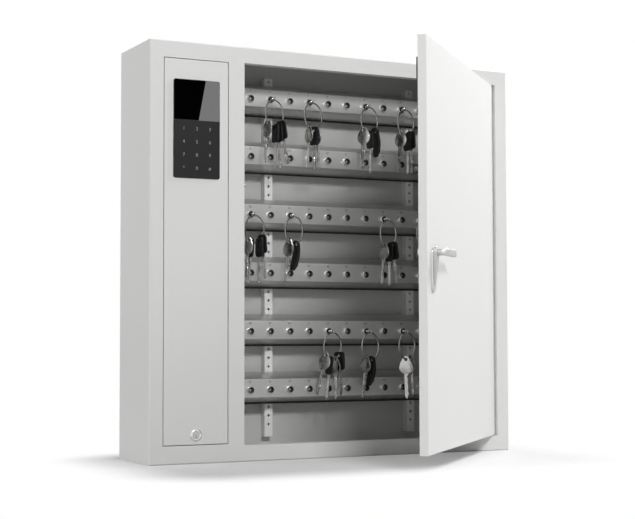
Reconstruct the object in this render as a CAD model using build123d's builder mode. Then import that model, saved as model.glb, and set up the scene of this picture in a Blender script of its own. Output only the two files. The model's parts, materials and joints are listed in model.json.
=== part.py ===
"""Electronic key cabinet, wall hung, with a keypad service panel and a wide key door.

Frame: the origin is the centre of the back face, midway between the four wall fixings.
X runs to the right, Y runs back into the wall and Z runs up. Sizes are in millimetres.
The key door stands open as it is stored, and zero on its joint is that pose.
"""
from math import cos, radians, sin
import os

from build123d import *

# Steel body
cabinet_width = 720.0
cabinet_height = 720.0
cabinet_depth = 150.0
body_sheet = 1.5
bend_radius = 2.5

# Openings in the front, each measured from the nearest outer side of the body
key_opening_left = 174.0
key_opening_right = 25.3
key_opening_margin = 28.0
service_opening_left = 24.3
service_opening_width = 119.8
service_opening_top = 29.0
service_opening_bottom = 31.0
return_sheet = 1.2
stop_lip = 6.0

# Doors
door_gap = 1.2
stop_gap = 1.5
door_skin_sheet = 1.2
door_edge_radius = 0.8
key_door_thickness = 14.0
service_door_thickness = 12.0
inner_panel_sheet = 1.0
key_door_open_angle = 45.0
stiffener_sheet = 1.2
stiffener_width = 50.0
stiffener_flange = 10.0
stiffener_inset = 110.0
stiffener_end_gap = 24.0

# Pivot pins of both doors
pin_diameter = 4.0
pin_clearance = 0.05
pin_edge_distance = 9.0
pin_face_distance = 4.6
pin_seat = 12.0
pin_reach = 6.0
bush_diameter = 6.0
bush_length = 8.0

# Wall fixings and cable entry in the back panel
fixing_inset_x = 15.0
fixing_inset_z = 25.0
fixing_diameter = 9.0
cable_hole_diameter = 26.0
cable_hole_x = 84.0
cable_hole_z = 420.0
grommet_bore = 18.0
grommet_flange = 32.0
grommet_flange_thickness = 1.5

# Partition between the electronics and the keys, placed by its face on the key side
partition_right = 166.0
partition_cable_hole = 20.0
partition_cable_hole_drop = 120.0
partition_cable_hole_y = 30.0

# Perforated uprights
upright_sheet = 1.5
upright_width = 16.0
upright_depth = 16.0
upright_left_x = 281.0
upright_spacing = 301.5
upright_bottom = 31.5
upright_top_gap = 26.5
upright_hole_diameter = 4.5
upright_hole_pitch = 16.0

# Key bars, with heights measured from the line of the hooks, which are spread evenly
bar_count = 6
highest_hook_drop = 73.2
lowest_hook_height = 118.8
bar_sheet = 1.2
bar_depth = 40.0
bar_face_above = 19.3
bar_face_below = 14.5
bar_back_above = 32.3
bar_back_below = 24.2
bar_lip = 13.0
bar_end_gap = 1.0
rail_screw_inset = 7.0

# Key receptacles on the bars
hook_count = 14
hook_end_distance = 19.8
collar_diameter = 13.0
collar_length = 6.0
socket_diameter = 10.6
socket_recess = 0.5
socket_length = 14.0

# Key pegs and rings
peg_diameter = 5.0
peg_seat = 8.0
peg_eye_diameter = 9.0
peg_eye_hole = 6.0
peg_eye_sheet = 1.6
peg_eye_drop = 1.5
peg_eye_overlap = 1.1
ring_diameter = 52.0
ring_wire = 2.2
ring_stand_off = 14.0
ring_gap = 0.45
ring_turn = 24.0

# Keys
key_eye_diameter = 6.0
key_eye_drop = 0.7
key_eye_edge = 6.5
metal_bow_diameter = 27.0
metal_bow_drop = 14.0
metal_neck_diameter = 13.0
metal_key_thickness = 2.2
plastic_bow_width = 22.0
plastic_bow_length = 34.0
plastic_bow_thickness = 4.4
plastic_bow_corner = 6.0
blade_width = 8.0
blade_thickness = 2.2
blade_length = 46.0
fob_width = 16.0
fob_length = 56.0
fob_thickness = 6.5

# Electronic lock on the partition
lock_width = 24.0
lock_depth = 24.0
lock_height = 84.0
lock_from_front = 17.0
lock_height_position = 480.0
bolt_diameter = 6.0
bolt_from_lock_front = 5.5
bolt_clearance = 0.08
bolt_hole_clearance = 0.6
bolt_end_wall = 3.0
bolt_end_gap = 0.5
lock_screw_spacing = 60.0
striker_gap = 8.0
striker_from_lip = 13.0
striker_hole_clearance = 1.2
striker_sheet = 2.0
striker_width = 16.0
striker_depth = 13.5
striker_foot = 16.0

# Controller board and battery
board_width = 112.0
board_height = 170.0
board_sheet = 1.6
board_centre_height = 250.0
standoff_height = 10.0
standoff_diameter = 7.0
board_hole_inset = 8.0
component_height = 12.0
terminal_width = 80.0
terminal_height = 10.0
terminal_inset = 10.0
relay_width = 28.0
relay_height = 21.0
relay_x = -28.0
relay_z = 42.0
supply_width = 22.0
supply_height = 34.0
supply_x = 28.0
supply_z = 28.0
chip_side = 22.0
chip_thickness = 1.6
chip_z = -21.0
battery_width = 98.0
battery_depth = 66.0
battery_height = 96.0
strap_sheet = 1.5
strap_width = 20.0
strap_foot = 14.0

# Pan head screws inside
screw_diameter = 4.0
screw_head_diameter = 7.5
screw_head_height = 2.6
screw_length = 7.0

# Door sensor and its magnet, buffers
sensor_size = 14.0
sensor_thickness = 7.0
sensor_length = 38.0
sensor_drop = 80.0
buffer_diameter = 5.0
buffer_thickness = 1.2
buffer_height_inset = 60.0

# Keypad unit on the service door
keypad_width = 85.0
keypad_height = 169.4
keypad_centre_drop = 149.8
keypad_corner = 3.5
keypad_base_proud = 1.2
keypad_overlay = 1.0
keypad_cutout_inset = 5.0
keypad_box_depth = 16.0
keypad_wall = 2.0
keypad_board_sheet = 1.6
keypad_board_recess = 2.0
display_height = 70.0

# Cam lock of the service door
cam_lock_height = 48.2
cam_lock_head = 22.0
cam_lock_head_proud = 2.6
cam_lock_bevel = 1.4
cam_lock_body = 19.0
plug_diameter = 12.0
plug_clearance = 0.08
plug_recess = 0.4
keyway_width = 1.8
keyway_depth = 2.0
keyway_drop = 4.5
keyway_rise = 1.0
cam_lock_length = 13.6
cam_nut_width = 24.0
cam_nut_thickness = 4.0
lock_cam_width = 14.0
lock_cam_reach = 26.0
lock_cam_sheet = 2.5
cam_gap = 0.5

# Lever handle of the key door
handle_edge_distance = 35.0
handle_height = 348.5
handle_plate_width = 22.0
handle_plate_height = 69.0
handle_plate_thickness = 3.0
handle_plate_corner = 5.0
handle_plate_above = 6.0
boss_diameter = 20.0
boss_height = 6.0
neck_diameter = 12.0
neck_clearance = 0.08
grip_height = 12.0
grip_thickness = 9.0
grip_reach = 26.0
grip_length = 57.0
grip_fillet = 3.0
spindle_side = 8.0
spindle_in_lever = 10.0
spindle_hole_clearance = 0.6
hub_diameter = 16.0
hub_gap = 0.3
latch_cam_width = 16.0
latch_cam_reach = 41.0
latch_cam_sheet = 3.0
latch_screw_head = 12.0
latch_screw_height = 3.0

# Planes and edges worked out from the values above
left = -cabinet_width / 2
right = cabinet_width / 2
bottom = -cabinet_height / 2
top = cabinet_height / 2
front = -cabinet_depth
back_inside = -body_sheet
inner_bottom = bottom + body_sheet

key_left = left + key_opening_left
key_right = right - key_opening_right
key_bottom = bottom + key_opening_margin
key_top = top - key_opening_margin
key_return_depth = key_door_thickness + stop_gap + return_sheet

service_left = left + service_opening_left
service_right = service_left + service_opening_width
service_bottom = bottom + service_opening_bottom
service_top = top - service_opening_top
service_return_depth = service_door_thickness + stop_gap + return_sheet
service_centre_x = (service_left + service_right) / 2

key_door_left = key_left + door_gap
key_door_right = key_right - door_gap
key_door_bottom = key_bottom + door_gap
key_door_top = key_top - door_gap
service_door_left = service_left + door_gap
service_door_right = service_right - door_gap
service_door_bottom = service_bottom + door_gap
service_door_top = service_top - door_gap

key_pivot_x = key_door_right - pin_edge_distance
pivot_y = front + pin_face_distance
service_pivot_z = service_door_top - pin_edge_distance
key_hinge = Axis((key_pivot_x, pivot_y, 0), (0, 0, 1))

partition_face = left + partition_right
upright_front = back_inside - upright_depth
bar_front = upright_front - bar_depth
bar_left = partition_face + bar_end_gap
bar_right = right - body_sheet - bar_end_gap
first_hook_x = bar_left + hook_end_distance
hook_pitch = (bar_right - bar_left - 2 * hook_end_distance) / (hook_count - 1)
bar_pitch = (cabinet_height - highest_hook_drop - lowest_hook_height) / (bar_count - 1)
collar_front = bar_front - collar_length
socket_front = collar_front + socket_recess
ring_y = collar_front - ring_stand_off

battery_z = inner_bottom + battery_height / 2
strap_outer_x = battery_width + 2 * strap_sheet
strap_foot_x = (strap_outer_x + strap_foot) / 2
strap_screws = [(service_centre_x - strap_foot_x, battery_z), (service_centre_x + strap_foot_x, battery_z)]
os.makedirs("parts", exist_ok=True)


def keep(shape, name):
    """Label a finished piece and write it under its node name."""
    shape.label = name
    export_step(shape, f"parts/{name}.step")


def keep_on_key_door(shape, name):
    """Swing a piece drawn on the closed key door out to the stored pose, then keep it."""
    keep(shape.rotate(key_hinge, key_door_open_angle), name)


def upright_plane(y):
    """The plane parallel to the cabinet's front at depth y, facing the viewer."""
    return Plane.XZ.offset(-y)


def rectangle_between(x0, z0, x1, z1, mode=Mode.ADD):
    """A rectangle in the current front-parallel sketch, from corner to corner."""
    with Locations(((x0 + x1) / 2, (z0 + z1) / 2)):
        Rectangle(x1 - x0, z1 - z0, mode=mode)


def hook_x(column):
    return first_hook_x + hook_pitch * column


def row_height(row):
    """Height of the hooks in a row, counted from 1 at the top."""
    return bottom + lowest_hook_height + bar_pitch * (bar_count - row)


# Shell: front and four sides folded from one sheet, with the two openings
with BuildPart() as shell_cavity:
    with BuildSketch(Plane.XZ):
        Rectangle(cabinet_width - 2 * body_sheet, cabinet_height - 2 * body_sheet)
    extrude(amount=cabinet_depth - body_sheet)
    fillet(shell_cavity.faces().sort_by(Axis.Y)[0].edges(), bend_radius - body_sheet)
with BuildPart() as cabinet_shell:
    with BuildSketch(Plane.XZ):
        Rectangle(cabinet_width, cabinet_height)
    extrude(amount=cabinet_depth)
    fillet(cabinet_shell.faces().sort_by(Axis.Y)[0].edges(), bend_radius)
    add(shell_cavity.part, mode=Mode.SUBTRACT)
    with BuildSketch(upright_plane(front)):
        rectangle_between(key_left, key_bottom, key_right, key_top)
        rectangle_between(service_left, service_bottom, service_right, service_top)
    extrude(amount=-2 * body_sheet, mode=Mode.SUBTRACT)
keep(cabinet_shell.part, "cabinet_shell")

# Back panel with the wall fixings and the cable entry
cable_x = left + cable_hole_x
cable_z = bottom + cable_hole_z
with BuildPart() as back_panel:
    with BuildSketch(Plane.XZ):
        Rectangle(cabinet_width - 2 * body_sheet, cabinet_height - 2 * body_sheet)
        with GridLocations(cabinet_width - 2 * fixing_inset_x, cabinet_height - 2 * fixing_inset_z, 2, 2):
            Circle(fixing_diameter / 2, mode=Mode.SUBTRACT)
        with Locations((cable_x, cable_z)):
            Circle(cable_hole_diameter / 2, mode=Mode.SUBTRACT)
        with Locations(*strap_screws):
            Circle(screw_diameter / 2, mode=Mode.SUBTRACT)
    extrude(amount=body_sheet)
keep(back_panel.part, "back_panel")

# Grommet, a ring with a groove that holds the edge of the cable hole
with BuildPart() as cable_grommet:
    with BuildSketch(Plane((cable_x, back_inside / 2, cable_z), x_dir=(1, 0, 0), z_dir=(0, 0, 1))):
        with BuildLine():
            half_web = body_sheet / 2
            Polyline(
                (grommet_bore / 2, -half_web - grommet_flange_thickness),
                (grommet_flange / 2, -half_web - grommet_flange_thickness),
                (grommet_flange / 2, -half_web),
                (cable_hole_diameter / 2, -half_web),
                (cable_hole_diameter / 2, half_web),
                (grommet_bore / 2, half_web),
                close=True,
            )
        make_face()
    revolve(axis=Axis((cable_x, 0, cable_z), (0, 1, 0)))
keep(cable_grommet.part, "cable_grommet")

# Returns welded behind the two openings, each with a stop lip on the latch side
with BuildPart() as key_door_frame:
    with BuildSketch(upright_plane(front + body_sheet)):
        rectangle_between(key_left - return_sheet, key_bottom - return_sheet,
                          key_right + return_sheet, key_top + return_sheet)
        rectangle_between(key_left, key_bottom, key_right, key_top, mode=Mode.SUBTRACT)
    extrude(amount=-(key_return_depth - body_sheet))
    with BuildSketch(upright_plane(front + key_return_depth)):
        rectangle_between(key_left, key_bottom, key_left + stop_lip, key_top)
    extrude(amount=return_sheet)
    with BuildSketch(Plane.XY.offset(key_bottom - return_sheet)):
        with Locations((key_pivot_x, pivot_y)):
            Circle(bush_diameter / 2)
    extrude(amount=key_top - key_bottom + 2 * return_sheet, mode=Mode.SUBTRACT)
keep(key_door_frame.part, "key_door_frame")

with BuildPart() as service_door_frame:
    with BuildSketch(upright_plane(front + body_sheet)):
        rectangle_between(service_left - return_sheet, service_bottom - return_sheet,
                          service_right + return_sheet, service_top + return_sheet)
        rectangle_between(service_left, service_bottom, service_right, service_top,
                          mode=Mode.SUBTRACT)
    extrude(amount=-(service_return_depth - body_sheet))
    with BuildSketch(upright_plane(front + service_return_depth)):
        rectangle_between(service_left, service_bottom, service_right, service_bottom + stop_lip)
    extrude(amount=return_sheet)
    with BuildSketch(Plane.YZ.offset(service_left - return_sheet)):
        with Locations((pivot_y, service_pivot_z)):
            Circle(bush_diameter / 2)
    extrude(amount=service_opening_width + 2 * return_sheet, mode=Mode.SUBTRACT)
keep(service_door_frame.part, "service_door_frame")

# Bushes that carry the pivot pins of both doors
bush_bore = pin_diameter / 2 + pin_clearance
with BuildPart() as hinge_bushes:
    with BuildSketch(Plane.XY.offset(key_top)):
        with Locations((key_pivot_x, pivot_y)):
            Circle(bush_diameter / 2)
            Circle(bush_bore, mode=Mode.SUBTRACT)
    extrude(amount=bush_length)
    with BuildSketch(Plane.XY.offset(key_bottom)):
        with Locations((key_pivot_x, pivot_y)):
            Circle(bush_diameter / 2)
            Circle(bush_bore, mode=Mode.SUBTRACT)
    extrude(amount=-bush_length)
    with BuildSketch(Plane.YZ.offset(service_left)):
        with Locations((pivot_y, service_pivot_z)):
            Circle(bush_diameter / 2)
            Circle(bush_bore, mode=Mode.SUBTRACT)
    extrude(amount=-bush_length)
    with BuildSketch(Plane.YZ.offset(service_right)):
        with Locations((pivot_y, service_pivot_z)):
            Circle(bush_diameter / 2)
            Circle(bush_bore, mode=Mode.SUBTRACT)
    extrude(amount=bush_length)
keep(hinge_bushes.part, "hinge_bushes")

# Partition wall, with a way through for the lock bolt and for a cable
lock_z = bottom + lock_height_position
lock_y = front + lock_from_front + lock_depth / 2
bolt_y = front + lock_from_front + bolt_from_lock_front
lock_screw_zs = [lock_z - lock_screw_spacing / 2, lock_z + lock_screw_spacing / 2]
with BuildPart() as partition_wall:
    with BuildSketch(Plane.YZ.offset(partition_face - body_sheet)) as partition_outline:
        with Locations(((front + body_sheet + back_inside) / 2, 0)):
            Rectangle(cabinet_depth - 2 * body_sheet, cabinet_height - 2 * body_sheet)
        chamfer(partition_outline.vertices().group_by(Axis.X)[0], bend_radius - body_sheet)
        with Locations((bolt_y, lock_z)):
            Circle(bolt_diameter / 2 + bolt_hole_clearance, mode=Mode.SUBTRACT)
        with Locations(*[(lock_y, z) for z in lock_screw_zs]):
            Circle(screw_diameter / 2, mode=Mode.SUBTRACT)
        with Locations((back_inside - partition_cable_hole_y, top - partition_cable_hole_drop)):
            Circle(partition_cable_hole / 2, mode=Mode.SUBTRACT)
    extrude(amount=body_sheet)
keep(partition_wall.part, "partition_wall")

# Perforated uprights, each a channel with its open side to the wall and closed ends
screw_rises = (bar_back_above - rail_screw_inset, -bar_back_below + rail_screw_inset)
upright_xs = [left + upright_left_x, left + upright_left_x + upright_spacing]
row_heights = [row_height(row) for row in range(1, bar_count + 1)]
upright_length = cabinet_height - upright_top_gap - upright_bottom
bar_gap_middle = (bar_back_below + bar_pitch - bar_back_above) / 2
group_centres = [row_height(row) - bar_gap_middle for row in range(bar_count + 1)]
perforations = [
    centre + step * upright_hole_pitch
    for centre in group_centres
    for step in (-1, 0, 1)
    if centre + step * upright_hole_pitch < top - upright_top_gap - upright_hole_diameter / 2
]
with BuildPart() as key_rail_uprights:
    with BuildSketch(Plane.XY.offset(bottom + upright_bottom)):
        with Locations(*[(x, (back_inside + upright_front) / 2) for x in upright_xs]):
            Rectangle(upright_width, upright_depth)
    extrude(amount=upright_length)
    with BuildSketch(Plane.XY.offset(bottom + upright_bottom + upright_sheet)):
        with Locations(*[(x, (back_inside + upright_front + upright_sheet) / 2) for x in upright_xs]):
            Rectangle(upright_width - 2 * upright_sheet, upright_depth - upright_sheet)
    extrude(amount=upright_length - 2 * upright_sheet, mode=Mode.SUBTRACT)
    with BuildSketch(upright_plane(upright_front)):
        with Locations(*[(x, z) for x in upright_xs for z in perforations]):
            Circle(upright_hole_diameter / 2)
        with Locations(*[(x, z + rise) for x in upright_xs for z in row_heights for rise in screw_rises]):
            Circle(screw_diameter / 2)
    extrude(amount=-2 * upright_sheet, mode=Mode.SUBTRACT)
keep(key_rail_uprights.part, "key_rail_uprights")

# Key bars, folded channels with a flat face and slanting flanges
hook_xs = [hook_x(column) for column in range(hook_count)]
for row, height in enumerate(row_heights, start=1):
    with BuildPart() as key_bar:
        with BuildSketch(Plane.YZ.offset(bar_left)):
            with BuildLine():
                Polyline(
                    (upright_front, height + bar_back_above),
                    (bar_front, height + bar_face_above),
                    (bar_front, height - bar_face_below),
                    (upright_front, height - bar_back_below),
                    close=True,
                )
            make_face()
            offset(amount=-bar_sheet, kind=Kind.INTERSECTION, mode=Mode.SUBTRACT)
            slot_height = bar_back_above + bar_back_below - 2 * bar_lip
            with Locations((upright_front - bar_sheet / 2, height + (bar_back_above - bar_back_below) / 2)):
                Rectangle(bar_sheet, slot_height, mode=Mode.SUBTRACT)
        extrude(amount=bar_right - bar_left)
        with BuildSketch(upright_plane(bar_front)):
            with Locations(*[(x, height) for x in hook_xs]):
                Circle(socket_diameter / 2)
        extrude(amount=-2 * bar_sheet, mode=Mode.SUBTRACT)
        with BuildSketch(upright_plane(upright_front)):
            with Locations(*[(x, height + rise) for x in upright_xs for rise in screw_rises]):
                Circle(screw_diameter / 2)
        extrude(amount=2 * bar_sheet, mode=Mode.SUBTRACT)
    keep(key_bar.part, f"key_bar_{row}")

# Screws that hold the bars to the uprights
lip_front = upright_front - bar_sheet
with BuildPart() as rail_screws:
    with BuildSketch(upright_plane(lip_front)):
        with Locations(*[(x, z + rise) for x in upright_xs for z in row_heights for rise in screw_rises]):
            Circle(screw_head_diameter / 2)
    extrude(amount=screw_head_height)
    with BuildSketch(upright_plane(lip_front)):
        with Locations(*[(x, z + rise) for x in upright_xs for z in row_heights for rise in screw_rises]):
            Circle(screw_diameter / 2)
    extrude(amount=-screw_length)
keep(rail_screws.part, "rail_screws")

# Receptacles: a bright collar on the bar's face round a dark blind socket
receptacles = [(x, z) for x in hook_xs for z in row_heights]
with BuildPart() as hook_collars:
    with BuildSketch(upright_plane(bar_front)):
        with Locations(*receptacles):
            Circle(collar_diameter / 2)
            Circle(socket_diameter / 2, mode=Mode.SUBTRACT)
    extrude(amount=collar_length)
keep(hook_collars.part, "hook_collars")

with BuildPart() as hook_sockets:
    with BuildSketch(upright_plane(socket_front)):
        with Locations(*receptacles):
            Circle(socket_diameter / 2)
    extrude(amount=-socket_length)
    with BuildSketch(upright_plane(socket_front)):
        with Locations(*receptacles):
            Circle(peg_diameter / 2)
    extrude(amount=-peg_seat, mode=Mode.SUBTRACT)
keep(hook_sockets.part, "hook_sockets")

# Bunches of keys, by row and column of their receptacle: each key's kind, its place round the
# ring's lowest point and its sideways lean, both in degrees, and how far the bunch is turned
bunches = [
    (1, 2, [("metal", -48, -4, 10), ("plastic", 20, -2, 6), ("plastic", 38, 3, 12), ("plastic", 57, 10, 20)]),
    (1, 4, [("metal", -22, -3, 8), ("plastic", 22, 2, 26), ("metal", 56, 4, 6)]),
    (1, 7, [("metal", -42, -3, 30), ("plastic", 4, 0, 2), ("fob", 36, 3, 14)]),
    (1, 9, [("metal", -38, -4, 24), ("plastic", 30, 0, 8), ("plastic", 54, 3, 16)]),
    (3, 1, [("metal", -40, -4, 10), ("plastic", -24, -4, 4), ("plastic", 30, 0, 10), ("plastic", 54, 4, 16)]),
    (3, 3, [("metal", -34, -6, 16), ("fob", 14, -8, 20)]),
    (3, 8, [("metal", -34, -4, 26), ("plastic", 22, 3, 8), ("plastic", 48, 10, 22)]),
    (3, 10, [("metal", -10, -2, 20), ("plastic", 16, 3, 20)]),
    (5, 5, [("metal", -52, -14, 24), ("plastic", -20, -6, 4), ("metal", 20, 0, 10), ("plastic", 50, 2, 30)]),
    (5, 7, [("metal", -30, -6, 16), ("fob", 16, -7, 18)]),
    (5, 9, [("metal", -12, 2, 62), ("metal", 30, 4, 4)]),
]
ring_radius = (ring_diameter - ring_wire) / 2
ring_drop = ring_radius + peg_eye_drop + peg_eye_hole / 2 - ring_wire / 2 - ring_gap
peg_end = ring_y + peg_eye_diameter / 2 - peg_eye_overlap

# Pegs seated in the receptacles that carry a bunch, each with a flat eye for the ring
peg_places = [(hook_x(column), row_height(row)) for row, column, keys in bunches]
with BuildPart() as key_pegs:
    with BuildSketch(upright_plane(socket_front + peg_seat)):
        with Locations(*peg_places):
            Circle(peg_diameter / 2)
    extrude(amount=socket_front + peg_seat - peg_end)
    for x, z in peg_places:
        with BuildSketch(Plane.YZ.offset(x - peg_eye_sheet / 2)):
            with Locations((ring_y, z - peg_eye_drop)):
                Circle(peg_eye_diameter / 2)
        extrude(amount=peg_eye_sheet)
        with BuildSketch(Plane.YZ.offset(x - peg_eye_sheet / 2)):
            with Locations((ring_y, z - peg_eye_drop)):
                Circle(peg_eye_hole / 2)
        extrude(amount=peg_eye_sheet, mode=Mode.SUBTRACT)
keep(key_pegs.part, "key_pegs")


def metal_key():
    """A flat key in the YZ plane, hanging from the origin at its eye."""
    bow_bottom = -metal_bow_drop - metal_bow_diameter / 2
    blade_end = bow_bottom - blade_length
    with BuildPart() as key:
        with BuildSketch(Plane.YZ):
            Circle(metal_neck_diameter / 2)
            with Locations((0, -metal_bow_drop)):
                Circle(metal_bow_diameter / 2)
            make_hull()
            with BuildLine():
                Polyline(
                    (-blade_width / 2, -metal_bow_drop),
                    (-blade_width / 2, blade_end + blade_width / 2),
                    (0, blade_end),
                    (blade_width / 2, blade_end + blade_width / 2),
                    (blade_width / 2, -metal_bow_drop),
                    close=True,
                )
            make_face()
            Circle(key_eye_diameter / 2, mode=Mode.SUBTRACT)
        extrude(amount=metal_key_thickness / 2, both=True)
    return key.part


def plastic_key():
    """A key with a plastic bow in the YZ plane, hanging from the origin at its eye."""
    bow_bottom = key_eye_edge - plastic_bow_length
    blade_end = bow_bottom - blade_length
    with BuildPart() as key:
        with BuildSketch(Plane.YZ):
            with Locations((0, key_eye_edge - plastic_bow_length / 2)):
                RectangleRounded(plastic_bow_width, plastic_bow_length, plastic_bow_corner)
            Circle(key_eye_diameter / 2, mode=Mode.SUBTRACT)
        extrude(amount=plastic_bow_thickness / 2, both=True)
        with BuildSketch(Plane.YZ):
            with BuildLine():
                Polyline(
                    (-blade_width / 2, bow_bottom),
                    (-blade_width / 2, blade_end + blade_width / 2),
                    (0, blade_end),
                    (blade_width / 2, blade_end + blade_width / 2),
                    (blade_width / 2, bow_bottom),
                    close=True,
                )
            make_face()
        extrude(amount=blade_thickness / 2, both=True)
    return key.part


def fob():
    """A long rounded tag in the YZ plane, hanging from the origin at its eye."""
    with BuildPart() as tag:
        with BuildSketch(Plane.YZ):
            with Locations((0, key_eye_edge - fob_length / 2)):
                RectangleRounded(fob_width, fob_length, fob_width / 2 - key_eye_drop)
            Circle(key_eye_diameter / 2, mode=Mode.SUBTRACT)
        extrude(amount=fob_thickness / 2, both=True)
    return tag.part


key_makers = {"metal": metal_key, "plastic": plastic_key, "fob": fob}
for number, (row, column, keys) in enumerate(bunches, start=1):
    ring_centre = (hook_x(column), ring_y, row_height(row) - ring_drop)
    with BuildPart() as key_bunch:
        with Locations(Pos(*ring_centre) * Rot(Z=ring_turn)):
            Torus(ring_radius, ring_wire / 2, rotation=(90, 0, 0))
        for kind, place, lean, turn in keys:
            aside = ring_radius * sin(radians(place))
            eye = (
                ring_centre[0] + aside * cos(radians(ring_turn)),
                ring_y + aside * sin(radians(ring_turn)),
                ring_centre[2] - ring_radius * cos(radians(place)) - key_eye_drop,
            )
            add(Pos(*eye) * Rot(Y=-lean) * Rot(Z=turn) * key_makers[kind]())
    keep(key_bunch.part, f"key_bunch_{number:02d}")

# Electronic lock on the electronics side of the partition, and its sliding bolt
lock_right = partition_face - body_sheet
lock_left = lock_right - lock_width
striker_left = key_left + stop_lip + striker_from_lip
bolt_tip = striker_left - striker_gap
with BuildPart() as lock_housing:
    with BuildSketch(Plane.YZ.offset(lock_left)):
        with Locations((lock_y, lock_z)):
            Rectangle(lock_depth, lock_height)
    extrude(amount=lock_width)
    fillet(lock_housing.edges().filter_by(Axis.X), bolt_end_wall)
    with BuildSketch(Plane.YZ.offset(lock_left + bolt_end_wall)):
        with Locations((bolt_y, lock_z)):
            Circle(bolt_diameter / 2 + bolt_clearance)
    extrude(amount=lock_width - bolt_end_wall, mode=Mode.SUBTRACT)
    with BuildSketch(Plane.YZ.offset(lock_right)):
        with Locations(*[(lock_y, z) for z in lock_screw_zs]):
            Circle(screw_diameter / 2)
    extrude(amount=-(screw_length - body_sheet), mode=Mode.SUBTRACT)
keep(lock_housing.part, "lock_housing")

bolt_back = lock_left + bolt_end_wall + bolt_end_gap
with BuildPart() as lock_bolt:
    with BuildSketch(Plane.YZ.offset(bolt_back)):
        with Locations((bolt_y, lock_z)):
            Circle(bolt_diameter / 2)
    extrude(amount=bolt_tip - bolt_back)
    chamfer(lock_bolt.faces().sort_by(Axis.X)[-1].edges(), bolt_end_gap)
keep(lock_bolt.part, "lock_bolt")

# Controller board on standoffs, with its relay, power supply, chip and terminals
board_z = bottom + board_centre_height
board_back = back_inside - standoff_height
board_front = board_back - board_sheet
board_hole_x = board_width - 2 * board_hole_inset
board_hole_z = board_height - 2 * board_hole_inset
with BuildPart() as circuit_board:
    with BuildSketch(upright_plane(board_back)):
        with Locations((service_centre_x, board_z)):
            Rectangle(board_width, board_height)
            with GridLocations(board_hole_x, board_hole_z, 2, 2):
                Circle(screw_diameter / 2, mode=Mode.SUBTRACT)
    extrude(amount=board_sheet)
    with BuildSketch(upright_plane(board_front)):
        with Locations((service_centre_x, board_z - board_height / 2 + terminal_inset)):
            Rectangle(terminal_width, terminal_height)
        with Locations((service_centre_x + relay_x, board_z + relay_z)):
            Rectangle(relay_width, relay_height)
        with Locations((service_centre_x + supply_x, board_z + supply_z)):
            Rectangle(supply_width, supply_height)
    extrude(amount=component_height)
    with BuildSketch(upright_plane(board_front)):
        with Locations((service_centre_x, board_z + chip_z)):
            Rectangle(chip_side, chip_side)
    extrude(amount=chip_thickness)
keep(circuit_board.part, "circuit_board")

screw_in_standoff = screw_length - board_sheet
with BuildPart() as board_standoffs:
    with BuildSketch(upright_plane(back_inside)):
        with Locations((service_centre_x, board_z)):
            with GridLocations(board_hole_x, board_hole_z, 2, 2):
                RegularPolygon(standoff_diameter / 2, 6)
    extrude(amount=standoff_height)
    with BuildSketch(upright_plane(board_back)):
        with Locations((service_centre_x, board_z)):
            with GridLocations(board_hole_x, board_hole_z, 2, 2):
                Circle(screw_diameter / 2)
    extrude(amount=-screw_in_standoff, mode=Mode.SUBTRACT)
keep(board_standoffs.part, "board_standoffs")

# Battery on the cabinet's floor, held to the back panel by a strap
with BuildPart() as battery_pack:
    with BuildSketch(Plane.XY.offset(inner_bottom)):
        with Locations((service_centre_x, back_inside - battery_depth / 2)):
            Rectangle(battery_width, battery_depth)
    extrude(amount=battery_height)
keep(battery_pack.part, "battery_pack")

with BuildPart() as battery_strap:
    with BuildSketch(Plane.XY.offset(battery_z - strap_width / 2)):
        with Locations((service_centre_x, back_inside - (battery_depth + strap_sheet) / 2)):
            Rectangle(strap_outer_x, battery_depth + strap_sheet)
        with Locations((service_centre_x, back_inside - strap_sheet / 2)):
            Rectangle(strap_outer_x + 2 * strap_foot, strap_sheet)
        with Locations((service_centre_x, back_inside - battery_depth / 2)):
            Rectangle(battery_width, battery_depth, mode=Mode.SUBTRACT)
    extrude(amount=strap_width)
    with BuildSketch(upright_plane(back_inside)):
        with Locations(*strap_screws):
            Circle(screw_diameter / 2)
    extrude(amount=strap_sheet, mode=Mode.SUBTRACT)
keep(battery_strap.part, "battery_strap")

# Pan head screws of the board, the lock and the strap, all of one size
with BuildPart() as inner_screws:
    with BuildSketch(upright_plane(board_front)):
        with Locations((service_centre_x, board_z)):
            with GridLocations(board_hole_x, board_hole_z, 2, 2):
                Circle(screw_head_diameter / 2)
    extrude(amount=screw_head_height)
    with BuildSketch(upright_plane(board_front)):
        with Locations((service_centre_x, board_z)):
            with GridLocations(board_hole_x, board_hole_z, 2, 2):
                Circle(screw_diameter / 2)
    extrude(amount=-screw_length)
    with BuildSketch(Plane.YZ.offset(partition_face)):
        with Locations(*[(lock_y, z) for z in lock_screw_zs]):
            Circle(screw_head_diameter / 2)
    extrude(amount=screw_head_height)
    with BuildSketch(Plane.YZ.offset(partition_face)):
        with Locations(*[(lock_y, z) for z in lock_screw_zs]):
            Circle(screw_diameter / 2)
    extrude(amount=-screw_length)
    with BuildSketch(upright_plane(back_inside - strap_sheet)):
        with Locations(*strap_screws):
            Circle(screw_head_diameter / 2)
    extrude(amount=screw_head_height)
    with BuildSketch(Plane.XZ):
        with Locations(*strap_screws):
            Circle(screw_diameter / 2)
    extrude(amount=body_sheet + strap_sheet)
keep(inner_screws.part, "inner_screws")

# Door sensor on the partition, and rubber buffers on the stop lip
sensor_z = top - sensor_drop
sensor_y = front + lock_from_front + sensor_size / 2
with BuildPart() as door_sensor:
    with BuildSketch(Plane.YZ.offset(partition_face)):
        with Locations((sensor_y, sensor_z)):
            Rectangle(sensor_size, sensor_length)
    extrude(amount=sensor_thickness)
keep(door_sensor.part, "door_sensor")

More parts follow.
